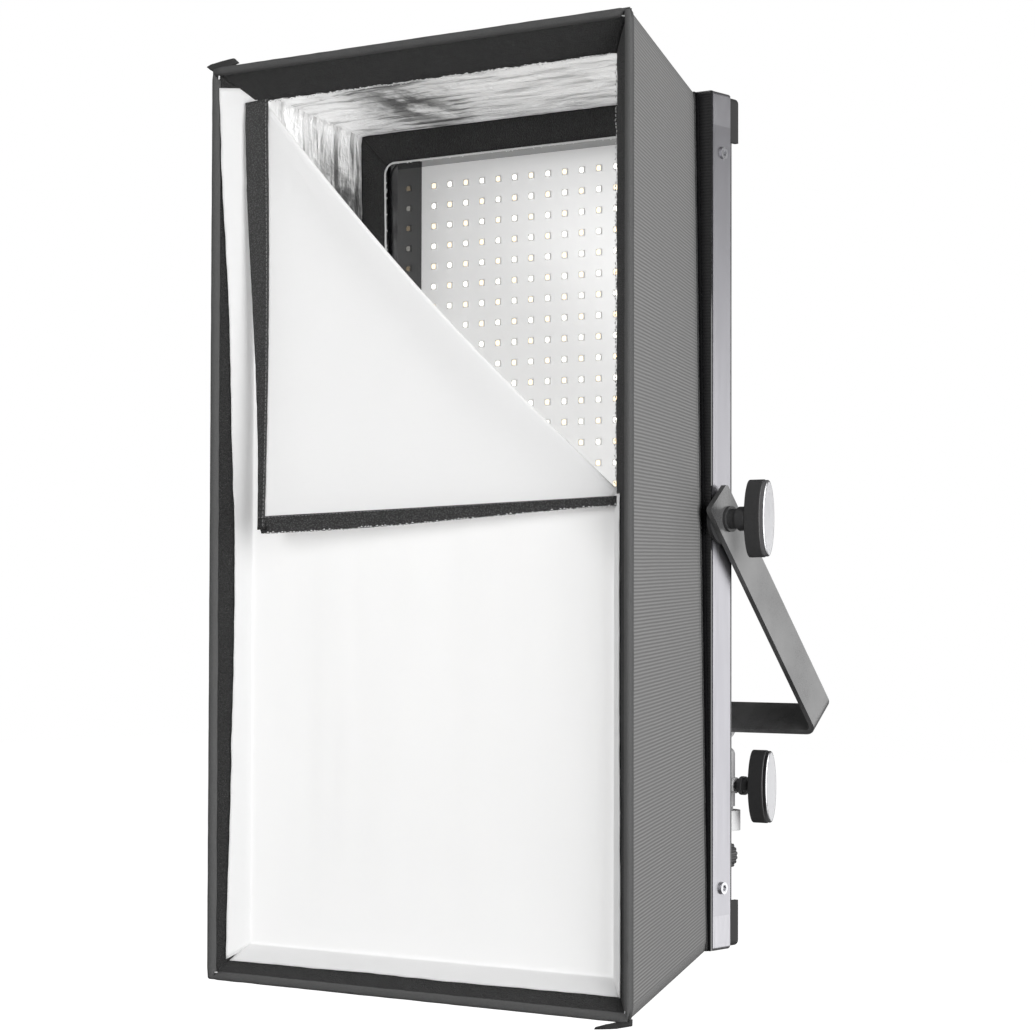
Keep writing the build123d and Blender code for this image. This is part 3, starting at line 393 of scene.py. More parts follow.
def circuit(name, low, high, roughness, glow=0.0):
    """Solder mask over copper tracks, with a painted glow of strength glow."""
    s = Shader(name)
    tracks = s.node("ShaderNodeTexBrick", {"Vector": s.place(90), "Mortar Size": 0.03, "Scale": 1.0})
    fine = s.noise(s.place(), 0.6, 4.0, 0.6)
    cloud = s.noise(s.place(14), 1.0, 3.0)
    s.set(Base_Color=s.blend(s.weigh(cloud, fine, 0.6), low, high))
    s.set(Emission_Color=grey(1.0), Emission_Strength=glow)
    s.set(Roughness=s.vary(fine, roughness - 0.05, roughness + 0.08))
    s.set(Normal=s.bump(s.math("MULTIPLY_ADD", tracks.outputs["Fac"], -0.5, fine), 0.3, 0.06))
    return s.material


def emitter(name, tint, glow, glow_tint):
    """Phosphor under clear resin, grainy and softly lit."""
    s = Shader(name)
    grain = s.noise(s.place(), 4.0, 3.0, 0.7)
    s.set(Base_Color=s.blend(grain, *shades(tint, 0.85, 1.0)), Roughness=s.vary(grain, 0.12, 0.25))
    s.set(Coat_Weight=0.4, Coat_Roughness=0.08, Normal=s.bump(grain, 0.4, 0.05))
    s.set(Emission_Color=glow_tint, Emission_Strength=glow)
    return s.material


M = {
    # the led packages carry a painted glow
    "package": circuit("led_package", (0.66, 0.66, 0.64), (0.74, 0.74, 0.72), 0.35, 0.12),
    "warm": emitter("warm_phosphor", (0.95, 0.62, 0.25), 1.35, (1.0, 0.86, 0.66)),
    "cool": emitter("cool_phosphor", (0.96, 0.93, 0.72), 1.8, (1.0, 0.99, 0.96)),
    "nylon": nylon("ribbed_nylon"),
    "pile": pile("loop_pile", grey(0.042), grey(0.24)),
    "lining": silver("crinkled_silver"),
    "cloth": cloth("diffusion_cloth", 0.93),
    "hooks": hooks("hook_tape"),
    "tape": tape("binding_tape", grey(0.04), grey(0.15)),
    "webbing": tape("black_webbing", grey(0.02), grey(0.07)),
    "white_thread": thread("white_thread", 0.8),
    "grey_thread": thread("grey_thread", 0.2),
}

RAIL_TINT = (0.42, 0.415, 0.44)
CAD_FINISH = (
    (brushed("rail_aluminium", RAIL_TINT, (900, 900, 14), 0.36), ("side_rail_left", "side_rail_right")),
    (brushed("cross_rail_aluminium", RAIL_TINT, (14, 900, 900), 0.36), ("top_rail", "bottom_rail")),
    (brushed("corner_aluminium", (0.50, 0.495, 0.52), (420, 420, 60), 0.4), ("corner_blocks",)),
    (brushed("mill_aluminium", (0.62, 0.63, 0.64), (30, 500, 500), 0.42), ("heat_spreader",)),
    (brushed("zinc_steel", (0.58, 0.58, 0.60), 500, 0.3),
     ("rail_screws", "housing_screws", "pivot_inserts", "driver_standoffs", "bolt_washer", "socket_bolt",
      "brightness_shaft", "colour_shaft", "control_pots")),
    (brushed("nickel", (0.62, 0.60, 0.57), 300, 0.18), ("dc_inlet_shell", "dc_inlet_pins")),
    (brushed("spun_cap", (0.46, 0.46, 0.47), (60, 700, 700), 0.34),
     ("right_tilt_knob_cap", "left_tilt_knob_cap", "stand_knob_cap")),
    (coated("tumbled_casting", (0.55, 0.55, 0.555), 0.9, 0.5, 0.16, grey(0.75), 0.14), ("stand_socket",)),
    (coated("gloss_black_bezel", (0.010, 0.010, 0.011), 0.35, 0.09, 0.01, None, 0.2, 1.0), ("front_bezel",)),
    (coated("black_powder_coat", (0.030, 0.030, 0.031), 2.2, 0.30, 0.04, grey(0.16), 0.25, 1.0), ("yoke",)),
    (coated("black_sheet_coat", (0.026, 0.026, 0.028), 1.6, 0.5, 0.09, grey(0.12), 0.25),
     ("rear_tray", "electronics_housing")),
    (coated("black_rubber", grey(0.028), 1.3, 0.72, 0.08, None, 0.2), ("corner_bumpers",)),
    (coated("dark_washer", (0.03, 0.03, 0.031), 1.8, 0.55, 0.05, None, 0.2), ("friction_washers",)),
    (coated("black_oxide", (0.04, 0.04, 0.042), 2.5, 0.32, 0.03, grey(0.2), 0.25),
     ("right_tilt_knob_screw", "left_tilt_knob_screw", "stand_knob_screw")),
    (coated("knob_plastic", (0.05, 0.05, 0.051), 1.5, 0.42, 0.06, None, 0.25),
     ("brightness_knob", "colour_knob", "right_tilt_knob_body", "left_tilt_knob_body", "stand_knob_body",
      "switch_frame", "switch_rocker")),
    (coated("moulded_component", (0.035, 0.035, 0.038), 1.8, 0.5, 0.05, grey(0.08), 0.2), ("driver_components",)),
    (circuit("green_mask", (0.02, 0.12, 0.05), (0.035, 0.19, 0.085), 0.3), ("driver_board",)),
    # the white board carries a painted glow
    (circuit("white_mask", (0.74, 0.74, 0.735), (0.82, 0.82, 0.815), 0.42, 0.27), ("led_board",)),
    (M["hooks"], ("bezel_hook_band",)),
)
BEVELS = {  # widths in millimetres
    1.0: ("corner_blocks",),
    0.9: ("side_rail_left", "side_rail_right", "top_rail", "bottom_rail", "corner_bumpers"),
    0.7: ("right_tilt_knob_body", "left_tilt_knob_body", "stand_knob_body"),
    0.6: ("stand_socket",),
    0.5: ("yoke", "friction_washers"),
    0.4: ("socket_bolt", "switch_frame", "switch_rocker", "dc_inlet_shell", "driver_components"),
    0.3: ("rear_tray", "electronics_housing", "brightness_knob", "colour_knob"),
    0.25: ("front_bezel", "rail_screws"),
    0.2: ("housing_screws", "bolt_washer"),
    0.15: ("heat_spreader",),
    0.1: ("led_board", "driver_board"),
}
BEVEL_ANGLE = math.radians(38)
for material, members in CAD_FINISH:
    for member in members:
        NODES[member].data.materials.clear()
        NODES[member].data.materials.append(material)
for width, members in BEVELS.items():
    for member in members:
        soft = NODES[member].modifiers.new("soft_edges", "BEVEL")
        soft.width = width * MM
        soft.segments = 2
        soft.limit_method = "ANGLE"
        soft.angle_limit = BEVEL_ANGLE


# -------- mesh helpers


def link(name, mesh, finish=None):
    """A smooth-shaded object for a finished mesh."""
    mesh.polygons.foreach_set("use_smooth", [True] * len(mesh.polygons))
    if finish:
        mesh.materials.append(M[finish])
    obj = bpy.data.objects.new(name, mesh)
    bpy.context.scene.collection.objects.link(obj)
    return obj


def make(name, verts, faces, finish=None, uvs=None):
    """A mesh piece from points in metres."""
    mesh = bpy.data.meshes.new(name)
    mesh.from_pydata([tuple(v) for v in verts], [], faces)
    mesh.validate()
    mesh.update()
    if uvs is not None:
        layer = mesh.uv_layers.new(name="UVMap")
        for loop in mesh.loops:
            layer.data[loop.index].uv = uvs[loop.vertex_index]
    return link(name, mesh, finish)


def grid(nu, nv, place, uv=None, closed=False):
    """Points, faces and UVs of an nu by nv grid of place(i, j)."""
    points = [place(i, j) for i in range(nu) for j in range(nv)]
    uvs = [uv(i, j) for i in range(nu) for j in range(nv)] if uv else None
    faces = []
    for i in range(nu if closed else nu - 1):
        for j in range(nv - 1):
            k = (i + 1) % nu
            faces.append((i * nv + j, k * nv + j, k * nv + j + 1, i * nv + j + 1))
    return points, faces, uvs


def settle(obj, weld=None, forward=False):
    """Welds points closer than weld, turns the faces one way, and forward if asked."""
    bm = bmesh.new()
    bm.from_mesh(obj.data)
    if weld:
        bmesh.ops.remove_doubles(bm, verts=bm.verts, dist=weld)
    bmesh.ops.recalc_face_normals(bm, faces=bm.faces)
    if forward and sum(f.normal.y for f in bm.faces) > 0:
        bmesh.ops.reverse_faces(bm, faces=bm.faces)
    bm.to_mesh(obj.data)
    bm.free()


def solid(obj, thickness, offset=-1.0):
    """Gives a sheet its thickness."""
    shell = obj.modifiers.new("thickness", "SOLIDIFY")
    shell.thickness = thickness * MM
    shell.offset = offset


def ring_piece(name, rows, place, uv, finish, thickness, offset):
    """A closed band of fabric round the softbox."""
    points, faces, uvs = grid(RING + 1, rows, place, uv)
    obj = make(name, points, faces, finish, uvs)
    settle(obj, weld=1e-5)
    solid(obj, thickness, offset)
    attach(obj, "head")
    return obj


def strip_piece(name, cols, rows, place, uv, finish, thickness, body):
    """A strip that faces forward, with its thickness behind it."""
    points, faces, uvs = grid(cols, rows, place, uv)
    obj = make(name, points, faces, finish, uvs)
    settle(obj, forward=True)
    solid(obj, thickness)
    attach(obj, body)
    return obj


def join_rings(faces, base, rings, sides):
    """Faces between rings of points that begin at number base."""
    for ring in range(base, base + (rings - 1) * sides, sides):
        for m in range(sides):
            p, q = ring + m, ring + (m + 1) % sides
            faces.append((p, q, q + sides, p + sides))


STITCH_SPAN = (0.12, 0.86)  # the part of each gap that its stitch covers
STITCH_SWELL = ((0, 0.35), (0.25, 0.95), (0.5, 1.0), (0.75, 0.95), (1.0, 0.35))
STITCH_SIDES = 6


def stitches(name, line, radius, gap, finish, jag, seed, body):
    """Separate short stitches of thread laid along a line of points in metres."""
    rng = random.Random(seed)
    verts, faces = [], []
    lengths = [0.0]
    for a, b in zip(line, line[1:]):
        lengths.append(lengths[-1] + (b - a).length)

    def at(s):
        for k in range(len(line) - 1):
            if s <= lengths[k + 1] or k == len(line) - 2:
                t = (s - lengths[k]) / max(1e-9, lengths[k + 1] - lengths[k])
                return line[k].lerp(line[k + 1], min(1.0, t))

    pitch = gap * MM
    sides = range(STITCH_SIDES)
    for n in range(int(lengths[-1] / pitch)):
        a, b = (at(n * pitch + share * pitch) for share in STITCH_SPAN)
        side = Vector((rng.uniform(-1, 1), 0, rng.uniform(-1, 1))) * jag * MM
        along = b - a
        if along.length < 1e-6:
            continue
        up = along.orthogonal().normalized()
        other = along.normalized().cross(up)
        start = len(verts)
        for t, swell in STITCH_SWELL:
            core = a.lerp(b, t) + side * math.sin(math.pi * t)
            for m in sides:
                angle = math.tau * m / STITCH_SIDES
                verts.append(core + (up * math.cos(angle) + other * math.sin(angle)) * radius * swell * MM)
        join_rings(faces, start, len(STITCH_SWELL), STITCH_SIDES)
        last = start + STITCH_SIDES * (len(STITCH_SWELL) - 1)
        faces.append(tuple(start + m for m in reversed(sides)))
        faces.append(tuple(last + m for m in sides))
    obj = make(name, verts, faces, finish)
    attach(obj, body)
    return obj


# -------- softbox walls
SIDE_STEPS = {"top": 44, "right": 80, "bottom": 44, "left": 80}
SIDE_NAMES, STEPS = tuple(SIDE_STEPS), tuple(SIDE_STEPS.values())
RING = sum(STEPS)
CORNERS = ((-1, 1), (1, 1), (1, -1), (-1, -1))  # top left, top right, bottom right, bottom left
OUTWARD = ((0, 1), (1, 0), (0, -1), (-1, 0))
LEAN = 10.7          # how far the loose rear edge is pulled to the left at its top
TUCK, TUCK_REACH = 1.2, 2.0  # the corners are turned over by this much, over this length


def side_length(side, half_w=RIM_W, half_h=RIM_H):
    return 2 * (half_w if side in ("top", "bottom") else half_h)


def side_place(side, along, half_w, half_h):
    """A place on one side of a rectangle, along from -1 to 1."""
    return {"top": (along * half_w, half_h), "bottom": (along * half_w, -half_h),
            "left": (-half_w, along * half_h), "right": (half_w, along * half_h)}[side]


def wall_half(depth):
    """Half the width and half the height of the walls at a depth."""
    t = (depth - REAR_D) / (RIM_D - REAR_D)
    return mix(REAR_W, RIM_W, t), mix(REAR_H, RIM_H, t)


def lean(depth, z):
    """How far the walls are pulled sideways: nothing at the rim, and most at the top of the rear edge."""
    return -LEAN * (z + REAR_H) / (2 * REAR_H) * min(1.0, max(0.0, (depth - RIM_D) / (REAR_D - RIM_D)))


def ring_side(k):
    """The side that point number k round the wall is on, and its number on that side."""
    side = 0
    while side < 3 and k >= STEPS[side]:
        k -= STEPS[side]
        side += 1
    return side, k


def ring_point(k, depth, inset, bow):
    """Point number k round the wall at a depth; bow moves it outward."""
    side, n = ring_side(k)
    t = n / STEPS[side]
    half_w, half_h = wall_half(depth)
    half_w, half_h = half_w - inset, half_h - inset
    (ax, az), (bx, bz) = CORNERS[side], CORNERS[(side + 1) % 4]
    x, z = mix(ax, bx, t) * half_w, mix(az, bz, t) * half_h
    level = side in (0, 2)
    ease = min(t, 1 - t) * 2 * (half_w if level else half_h)
    tuck = TUCK * max(0.0, 1 - ease / TUCK_REACH)
    push = bow(side, t, depth)
    x += OUTWARD[side][0] * push - math.copysign(tuck, x) * (1 if level else 0.5)
    z += OUTWARD[side][1] * push - math.copysign(tuck, z) * (0.5 if level else 1)
    return head(x + lean(depth, z), depth, z)


SIDE_UV = 700  # the sides are this far apart in the UVs, more than any side's length


def ring_uv(k, depth):
    side, n = ring_side(k)
    half = RIM_W if side in (0, 2) else RIM_H
    return n / STEPS[side] * 2 * half + side * SIDE_UV, depth


def run(side, t):
    """A running length for noise, different on each side."""
    return t * 640 + side * 900


def shell_bow(side, t, depth):
    """Shallow dents and creases of the taut nylon, deeper towards the rear edge."""
    deep = (depth - RIM_D) / (REAR_D - RIM_D)
    edge = min(1.0, min(t, 1 - t) * 14)
    dent = 0.7 * math.sin(math.pi * t) * math.sin(math.pi * deep)
    crease = 0.45 * wave(run(side, t), depth * 2.2, scale=0.018, seed=4) * math.sin(math.pi * min(1, deep + 0.1))
    fine = 0.16 * wave(run(side, t), depth, scale=0.07, seed=9)
    return max(-0.05, dent + crease + fine) * edge - 0.05


def lining_bow(side, t, depth):
    """Crinkles of the loose silver lining."""
    s = run(side, t)
    edge = min(1.0, min(t, 1 - t) * 10)
    long_fold = abs(wave(s + depth * 1.3, depth * 0.35, scale=0.035, seed=2)) * 1.9
    crackle = abs(wave(s, depth, scale=0.11, seed=7)) * 0.8
    deep = min(1.0, max(0.0, (depth - RIM_D) / (REAR_D - RIM_D)))
    return (0.9 - long_fold - crackle) * edge * math.sin(math.pi * deep) ** 0.3 * 0.9


def wall_piece(name, rows, front, rear, inset, bow, finish, thickness):
    """A layer of the walls, from one depth to another."""

    def depth(j):
        return mix(front, rear, j / (rows - 1))

    return ring_piece(name, rows, lambda i, j: ring_point(i % RING, depth(j), inset, bow),
                      lambda i, j: ring_uv(i, depth(j)), finish, thickness, -1.0)


shell = wall_piece("softbox_shell", 26, RIM_D + 0.5, REAR_D, 0.0, shell_bow, "nylon", 1.1)
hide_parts("shell_panel_top", "shell_panel_bottom", "shell_panel_left", "shell_panel_right",
            "wall_stiffeners")

lining = wall_piece("crinkled_lining", 44, RIM_D + 1.6, REAR_D - 0.4, 3.1, lining_bow, "lining", 0.35)
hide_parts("silver_lining")

# -------- rim binding
BIND = 7.0  # how far the tape reaches back over the wall
# the tape's profile: outward from the wall, and back from the rim
BIND_PROFILE = [(-0.5, BIND), (0.35, BIND - 0.6), (0.55, BIND * 0.5), (0.5, 0.6), (0.0, -0.15), (-1.6, -0.3),
                (-3.2, -0.1), (-4.2, 0.6), (-4.4, BIND * 0.4), (-4.2, BIND * 0.75), (-3.6, BIND * 0.9)]


def binding_point(i, j):
    out, back = BIND_PROFILE[j]
    wobble = 0.18 * wave(i * 7.3, j * 2.0, scale=0.6, seed=5)
    return ring_point(i % RING, RIM_D + back, 0.0, lambda side, t, depth: out + wobble)


binding = ring_piece("rim_binding_tape", len(BIND_PROFILE), binding_point, lambda i, j: ring_uv(i, j * 2.0),
                     "tape", 0.5, 0.0)
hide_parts("rim_binding")

# -------- front lips of loop pile
LIP_COLS, LIP_ROWS, LIP_CLEAR = 220, 12, 0.6


def lip_point(side, along, t, ragged, lift):
    """A place on the sloping lip: t 0 at the rim and 1 at the inner edge, along -1..1 from end to end."""
    inset = (LIP_INSET + ragged) * t
    x, z = side_place(side, along, RIM_W - inset - LIP_CLEAR, RIM_H - inset - LIP_CLEAR)
    return head(x, RIM_D + (LIP_DROP + ragged * 0.8) * t - lift, z)


def lip_piece(side, index):
    length = side_length(side)
    cols = LIP_COLS if length > 500 else int(LIP_COLS * 0.6)

    def place(i, j):
        along = -1 + 2 * i / (cols - 1)
        t = j / (LIP_ROWS - 1)
        s = along * length / 2
        fray = 0.9 * wave(s, index * 50, scale=0.3, seed=3) + 0.7 * wave(s, index * 70, scale=0.06, seed=8)
        crown = 0.7 * math.sin(math.pi * t) + 0.5 * wave(s, t * 30, index * 40, scale=0.05, seed=6)
        return lip_point(side, along, t, fray * t * t, crown + 0.3)

    return strip_piece(f"lip_{side}", cols, LIP_ROWS, place, lambda i, j: (i * length / cols, j * 2.6),
                       "pile", 1.7, "head")


for index, side in enumerate(SIDE_NAMES):
    lip = lip_piece(side, index)
    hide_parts(f"front_lip_{side}")
    inner = [lip_point(side, -0.985 + 1.97 * n / 200, 1.0, 0.4, 0.9) for n in range(201)]
    stitches(f"lip_stitches_{side}", inner, 0.42, 2.6, "white_thread", 1.1, 21 + index, "head")

# -------- rear band of loop pile, against the bezel
FLANGE = 26.0
BAND_COLS, BAND_ROWS = 150, 12
BAND_OUTER, YOKE_CLEAR = 0.4, 2.4  # its outer edge is inside the wall by this much, and by more beside the yoke
PIPE_W, PIPE_H, PIPE_CORNER, PIPE_R, PIPE_STEP = REAR_W - FLANGE - 0.4, REAR_H - FLANGE - 0.4, 9.0, 0.75, 6


def band_piece(side, index):
    length = side_length(side, REAR_W, REAR_H)
    outer = YOKE_CLEAR if side == "left" else BAND_OUTER
    back = 0.0 if side in ("top", "bottom") else 0.25

    def place(i, j):
        along = -1 + 2 * i / (BAND_COLS - 1)
        t = j / (BAND_ROWS - 1)
        s = along * length / 2
        fray = 0.6 * wave(s, index * 50, scale=0.35, seed=13) + 0.5 * wave(s, index * 70, scale=0.05, seed=18)
        inset = mix(outer, FLANGE + fray + BAND_OUTER, t)
        depth = REAR_D + 0.9 - 0.8 * math.sin(math.pi * t) - 0.35 * wave(s, t * 30, scale=0.06, seed=16)
        x, z = side_place(side, along, REAR_W - inset, REAR_H - inset)
        return head(x + lean(REAR_D, z), depth - back, z)

    return strip_piece(f"rear_band_{side}", BAND_COLS, BAND_ROWS, place,
                       lambda i, j: (i * length / BAND_COLS, j * 2.4), "pile", 2.1, "head")


for index, side in enumerate(SIDE_NAMES):
    band = band_piece(side, index)
    if side == "top":
        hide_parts("rear_loop_band", "bezel_hook_band")
    side_length(side, REAR_W, REAR_H) * MM
    edge = []
    for n in range(161):
        x, z = side_place(side, -0.97 + 1.94 * n / 160, REAR_W - FLANGE - 0.6, REAR_H - FLANGE - 0.6)
        edge.append(head(x + lean(REAR_D, z), REAR_D + 0.4, z))
    stitches(f"band_stitches_{side}", edge, 0.42, 2.4, "white_thread", 1.0, 41 + index, "head")

# white piping round the band's inner edge, turned over a radius at its corners
route = []
for (sign_x, sign_z), turn in zip(CORNERS, (180, 90, 0, -90)):
    for n in range(9):
        angle = math.radians(turn - 90 * n / 8)
        route.append((sign_x * (PIPE_W - PIPE_CORNER) + PIPE_CORNER * math.cos(angle),
                      sign_z * (PIPE_H - PIPE_CORNER) + PIPE_CORNER * math.sin(angle)))
path = []
for (ax, az), (bx, bz) in zip(route, route[1:] + route[:1]):
    count = max(1, int(math.hypot(bx - ax, bz - az) / PIPE_STEP))
    path += [(mix(ax, bx, n / count), mix(az, bz, n / count)) for n in range(count)]


def piping_point(i, j):
    (px, pz), (qx, qz) = path[i % len(path)], path[(i + 1) % len(path)]
    length = math.hypot(qx - px, qz - pz)
    out_x, out_z = (qz - pz) / length, (px - qx) / length
    angle = math.tau * j / 8
    spread = PIPE_R * (1 + 0.2 * wave(i * 3.0, j * 2.0, scale=0.4, seed=71))
    across = spread * math.cos(angle)
    depth = REAR_D - 0.3 + spread * math.sin(angle)
    return head(px + out_x * across + lean(REAR_D, pz), depth, pz + out_z * across)


points, faces, uvs = grid(len(path), 9, piping_point, lambda i, j: (i * 6.0, j * 0.6), closed=True)
piping = make("band_piping", points, faces, "white_thread", uvs)
settle(piping, weld=1e-6)
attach(piping, "head")

# -------- diffuser with its folded corner
FOLD_D = fold_mid.y
fold_dir = Vector((fold_axis.x, 0, fold_axis.z)).normalized()
fold_in = Vector((fold_dir.z, 0, -fold_dir.x))  # across the fold, towards the attached part
if fold_in.x > 0:
    fold_in = -fold_in
fold_base = Vector((fold_mid.x, 0, fold_mid.z))
CLOTH_D, FLAP_D = PLATE_D, 2 * FOLD_D - PLATE_D
CREASE_R = abs(FLAP_D - CLOTH_D) / 2
CELL = 5.0                              # the size of a face of the cloth
ARC_ROWS, OUT_ROWS = 8, 46              # rows of points round the crease and on the folded corner
HALF_W, HALF_H = PLATE_W - 1.0, PLATE_H - 1.0
FLAP_W, FLAP_W_SLOPE = 167.2, -0.031    # the closed flap's right edge, and how much it leans with height
FLAP_H, FLAP_H_SLOPE = 306.6, 0.0246    # its top edge, and how much it rises to the right
BILLOW, BILLOW_REACH = 13.2, 215        # how far the folded corner bows forward, at this distance from the crease
NEAR = 1e-4                             # points closer than this are the same


def to_line(x, z):
    """Distance along the fold and across it; across is positive over the attached part."""
    d = Vector((x, 0, z)) - fold_base
    return d.dot(fold_dir), d.dot(fold_in)


def from_line(along, across):
    p = fold_base + fold_dir * along + fold_in * across
    return p.x, p.z


# where the fold line meets the top edge and the right edge
top_x = fold_base.x + (HALF_H - fold_base.z) * fold_dir.x / fold_dir.z
right_z = fold_base.z + (HALF_W - fold_base.x) * fold_dir.z / fold_dir.x
ALONG_TOP, ALONG_RIGHT = to_line(top_x, HALF_H)[0], to_line(HALF_W, right_z)[0]


def sag(x, z):
    """How far the taut attached cloth sinks behind its frame."""
    edge = max(0.0, min(1.0, min(HALF_W - abs(x), HALF_H - abs(z)) / 60))
    crease = 0.7 * wave(x, z * 0.12, scale=0.03, seed=12) + 0.35 * wave(x, z * 0.1, scale=0.09, seed=15)
    return edge * (1.6 + crease * 1.1)


def flap_depth(along, out):
    """The folded corner's depth at a distance out from the crease, bowed forward to its free edges."""
    x, z = from_line(along, out)
    ripple = 1.2 * wave(x, z * 0.3, scale=0.012, seed=22) * smooth(out / 40)
    billow = BILLOW * (out / BILLOW_REACH) ** 1.7 + ripple
    return FLAP_D - 0.35 - 0.8 * smooth(out / 12) - billow


def fold_bow(along, across):
    """How far the soft crease curves in from the straight fold line, fading out away from it."""
    t = min(1.0, max(0.0, (along - ALONG_TOP) / (ALONG_RIGHT - ALONG_TOP)))
    return (3.5 * (1 - t) + 8.5 * math.sin(math.pi * t)) * (1 - smooth(across / 90))


def flap_reach(along):
    """How far the folded corner reaches from the fold line at this place along it."""
    base_x, base_z = from_line(along, 0)
    step = -fold_in
    right = (FLAP_W + FLAP_W_SLOPE * base_z - base_x) / (step.x - FLAP_W_SLOPE * step.z)
    top = (FLAP_H + FLAP_H_SLOPE * base_x - base_z) / (step.z - FLAP_H_SLOPE * step.x)
    return max(0.0, min(right, top))


# the attached part: a grid over the opening, cut on the fold line
bm = bmesh.new()
xs, zs = int(2 * HALF_W / CELL), int(2 * HALF_H / CELL)
rows = [[bm.verts.new((mix(-HALF_W, HALF_W, i / xs), 0, mix(-HALF_H, HALF_H, j / zs))) for j in range(zs + 1)]
        for i in range(xs + 1)]
for i in range(xs):
    for j in range(zs):
        bm.faces.new((rows[i][j], rows[i + 1][j], rows[i + 1][j + 1], rows[i][j + 1]))
bmesh.ops.bisect_plane(bm, geom=bm.verts[:] + bm.edges[:] + bm.faces[:], plane_co=fold_base, plane_no=-fold_in,
                       clear_outer=True, dist=NEAR)
flat_area = sum(f.calc_area() for f in bm.faces)
flat_uv = {v: (v.co.x, v.co.z) for v in bm.verts}
fold_row = [(to_line(v.co.x, v.co.z)[0], v) for v in bm.verts if abs(to_line(v.co.x, v.co.z)[1]) < 1e-2]
fold_row.sort(key=lambda item: item[0])
for v in bm.verts:
    along, across = to_line(v.co.x, v.co.z)
    x, z = from_line(along, across + fold_bow(along, across))
    v.co = Vector((x, CLOTH_D + sag(v.co.x, v.co.z) * smooth(across / 30), z))

# the crease and the folded corner continue from the row of points on the fold line
flap_columns = []
for along, v in fold_row:
    column = [v]
    reach = flap_reach(along)
    for a in range(1, ARC_ROWS + 1):
        angle = math.pi * a / ARC_ROWS
        x, z = from_line(along, fold_bow(along, 0) - CREASE_R * math.sin(angle) * 1.15)
        made = bm.verts.new((x, mix(CLOTH_D, FLAP_D, (1 - math.cos(angle)) / 2), z))
        flat_uv[made] = (x, z)
        column.append(made)
    for r in range(1, OUT_ROWS + 1):
        out = reach * r / OUT_ROWS
        x, z = from_line(along, out + fold_bow(along, out))
        made = bm.verts.new((x, flap_depth(along, out) if out > 0.3 else FLAP_D - 0.35, z))
        flat_uv[made] = from_line(along, -out)
        column.append(made)
    flap_columns.append(column)
for left, right in zip(flap_columns, flap_columns[1:]):
    for r in range(ARC_ROWS + OUT_ROWS):
        unique = []
        for corner in (left[r], right[r], right[r + 1], left[r + 1]):
            if all((corner.co - other.co).length > NEAR for other in unique):
                unique.append(corner)
        if len(unique) > 2:
            bm.faces.new(unique)
uv_layer = bm.loops.layers.uv.new("UVMap")
for f in bm.faces:
    for loop in f.loops:
        loop[uv_layer].uv = flat_uv[loop.vert]
bmesh.ops.recalc_face_normals(bm, faces=bm.faces)
for v in bm.verts:
    v.co = HEAD + v.co * MM
mesh = bpy.data.meshes.new("diffuser_cloth")
bm.to_mesh(mesh)
bm.free()
diffuser = link("diffuser_cloth", mesh, "cloth")
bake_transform(diffuser)
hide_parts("diffuser", "diffuser_flap")

# -------- margins of the attached cloth, up the slope of the lip
MARGIN, MARGIN_LAP = 20.5, 3.5  # width of the margin, and how far it laps over the cloth
BOTTOM_REACH = 0.68
# the margins take the weaker painted glow of the folded corner
MARGIN_UV = 400                 # keeps the margins' UVs away from the face of the cloth


def margin_reach(side, s):
    """How much of its full width the margin covers at a place along its side."""
    if side == "bottom":
        return BOTTOM_REACH
    return mix(0.82, 0.61, smooth((s + 330) / 230)) + 0.59 * (max(0.0, s) / 300) ** 1.2


def margin_piece(side, end, index):
    """The margin runs from its mitred lower or left corner to end, or to a mitre at the far corner."""
    half = RIM_W if side == "bottom" else RIM_H
    cols, rows = int(2 * half / 4), 14

    def place(i, j):
        t = j / (rows - 1)
        mitre = half - LIP_INSET * (1 - MARGIN * t * BOTTOM_REACH / LIP_SLOPE) - 1.0
        s = mix(-mitre, mitre if end is None else end, i / (cols - 1))
        row = index * 30
        ragged = 1 + 0.05 * wave(s, row, scale=0.01, seed=31) + 0.025 * wave(s, row, scale=0.06, seed=33)
        edge = (MARGIN * margin_reach(side, s) + MARGIN_LAP) * ragged * t - MARGIN_LAP
        slope = edge / LIP_SLOPE
        inset = LIP_INSET * (1 - slope) + 1.0
        on_lip = RIM_D + LIP_DROP * (1 - slope) - 2.4 - 0.6 * t * abs(wave(s, 9, scale=0.05, seed=35))
        depth = mix(CLOTH_D + 0.15, on_lip, smooth((edge + MARGIN_LAP) / (2 * MARGIN_LAP)))
        x, z = side_place(side, 1, RIM_W - inset, RIM_H - inset)
        return head(s, depth, z) if side == "bottom" else head(x, depth, s)

    return strip_piece(f"diffuser_margin_{side}", cols, rows, place, lambda i, j: (MARGIN_UV + i * 4.0, j * 2.4),
                       "cloth", 0.5, "head")


margins = [margin_piece("left", PLATE_H + 8, 0), margin_piece("bottom", None, 1),
           margin_piece("right", right_z - 2, 2)]
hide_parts("diffuser_hook_strips")

# -------- black hook borders of the folded corner
BORDER_ROWS = 8


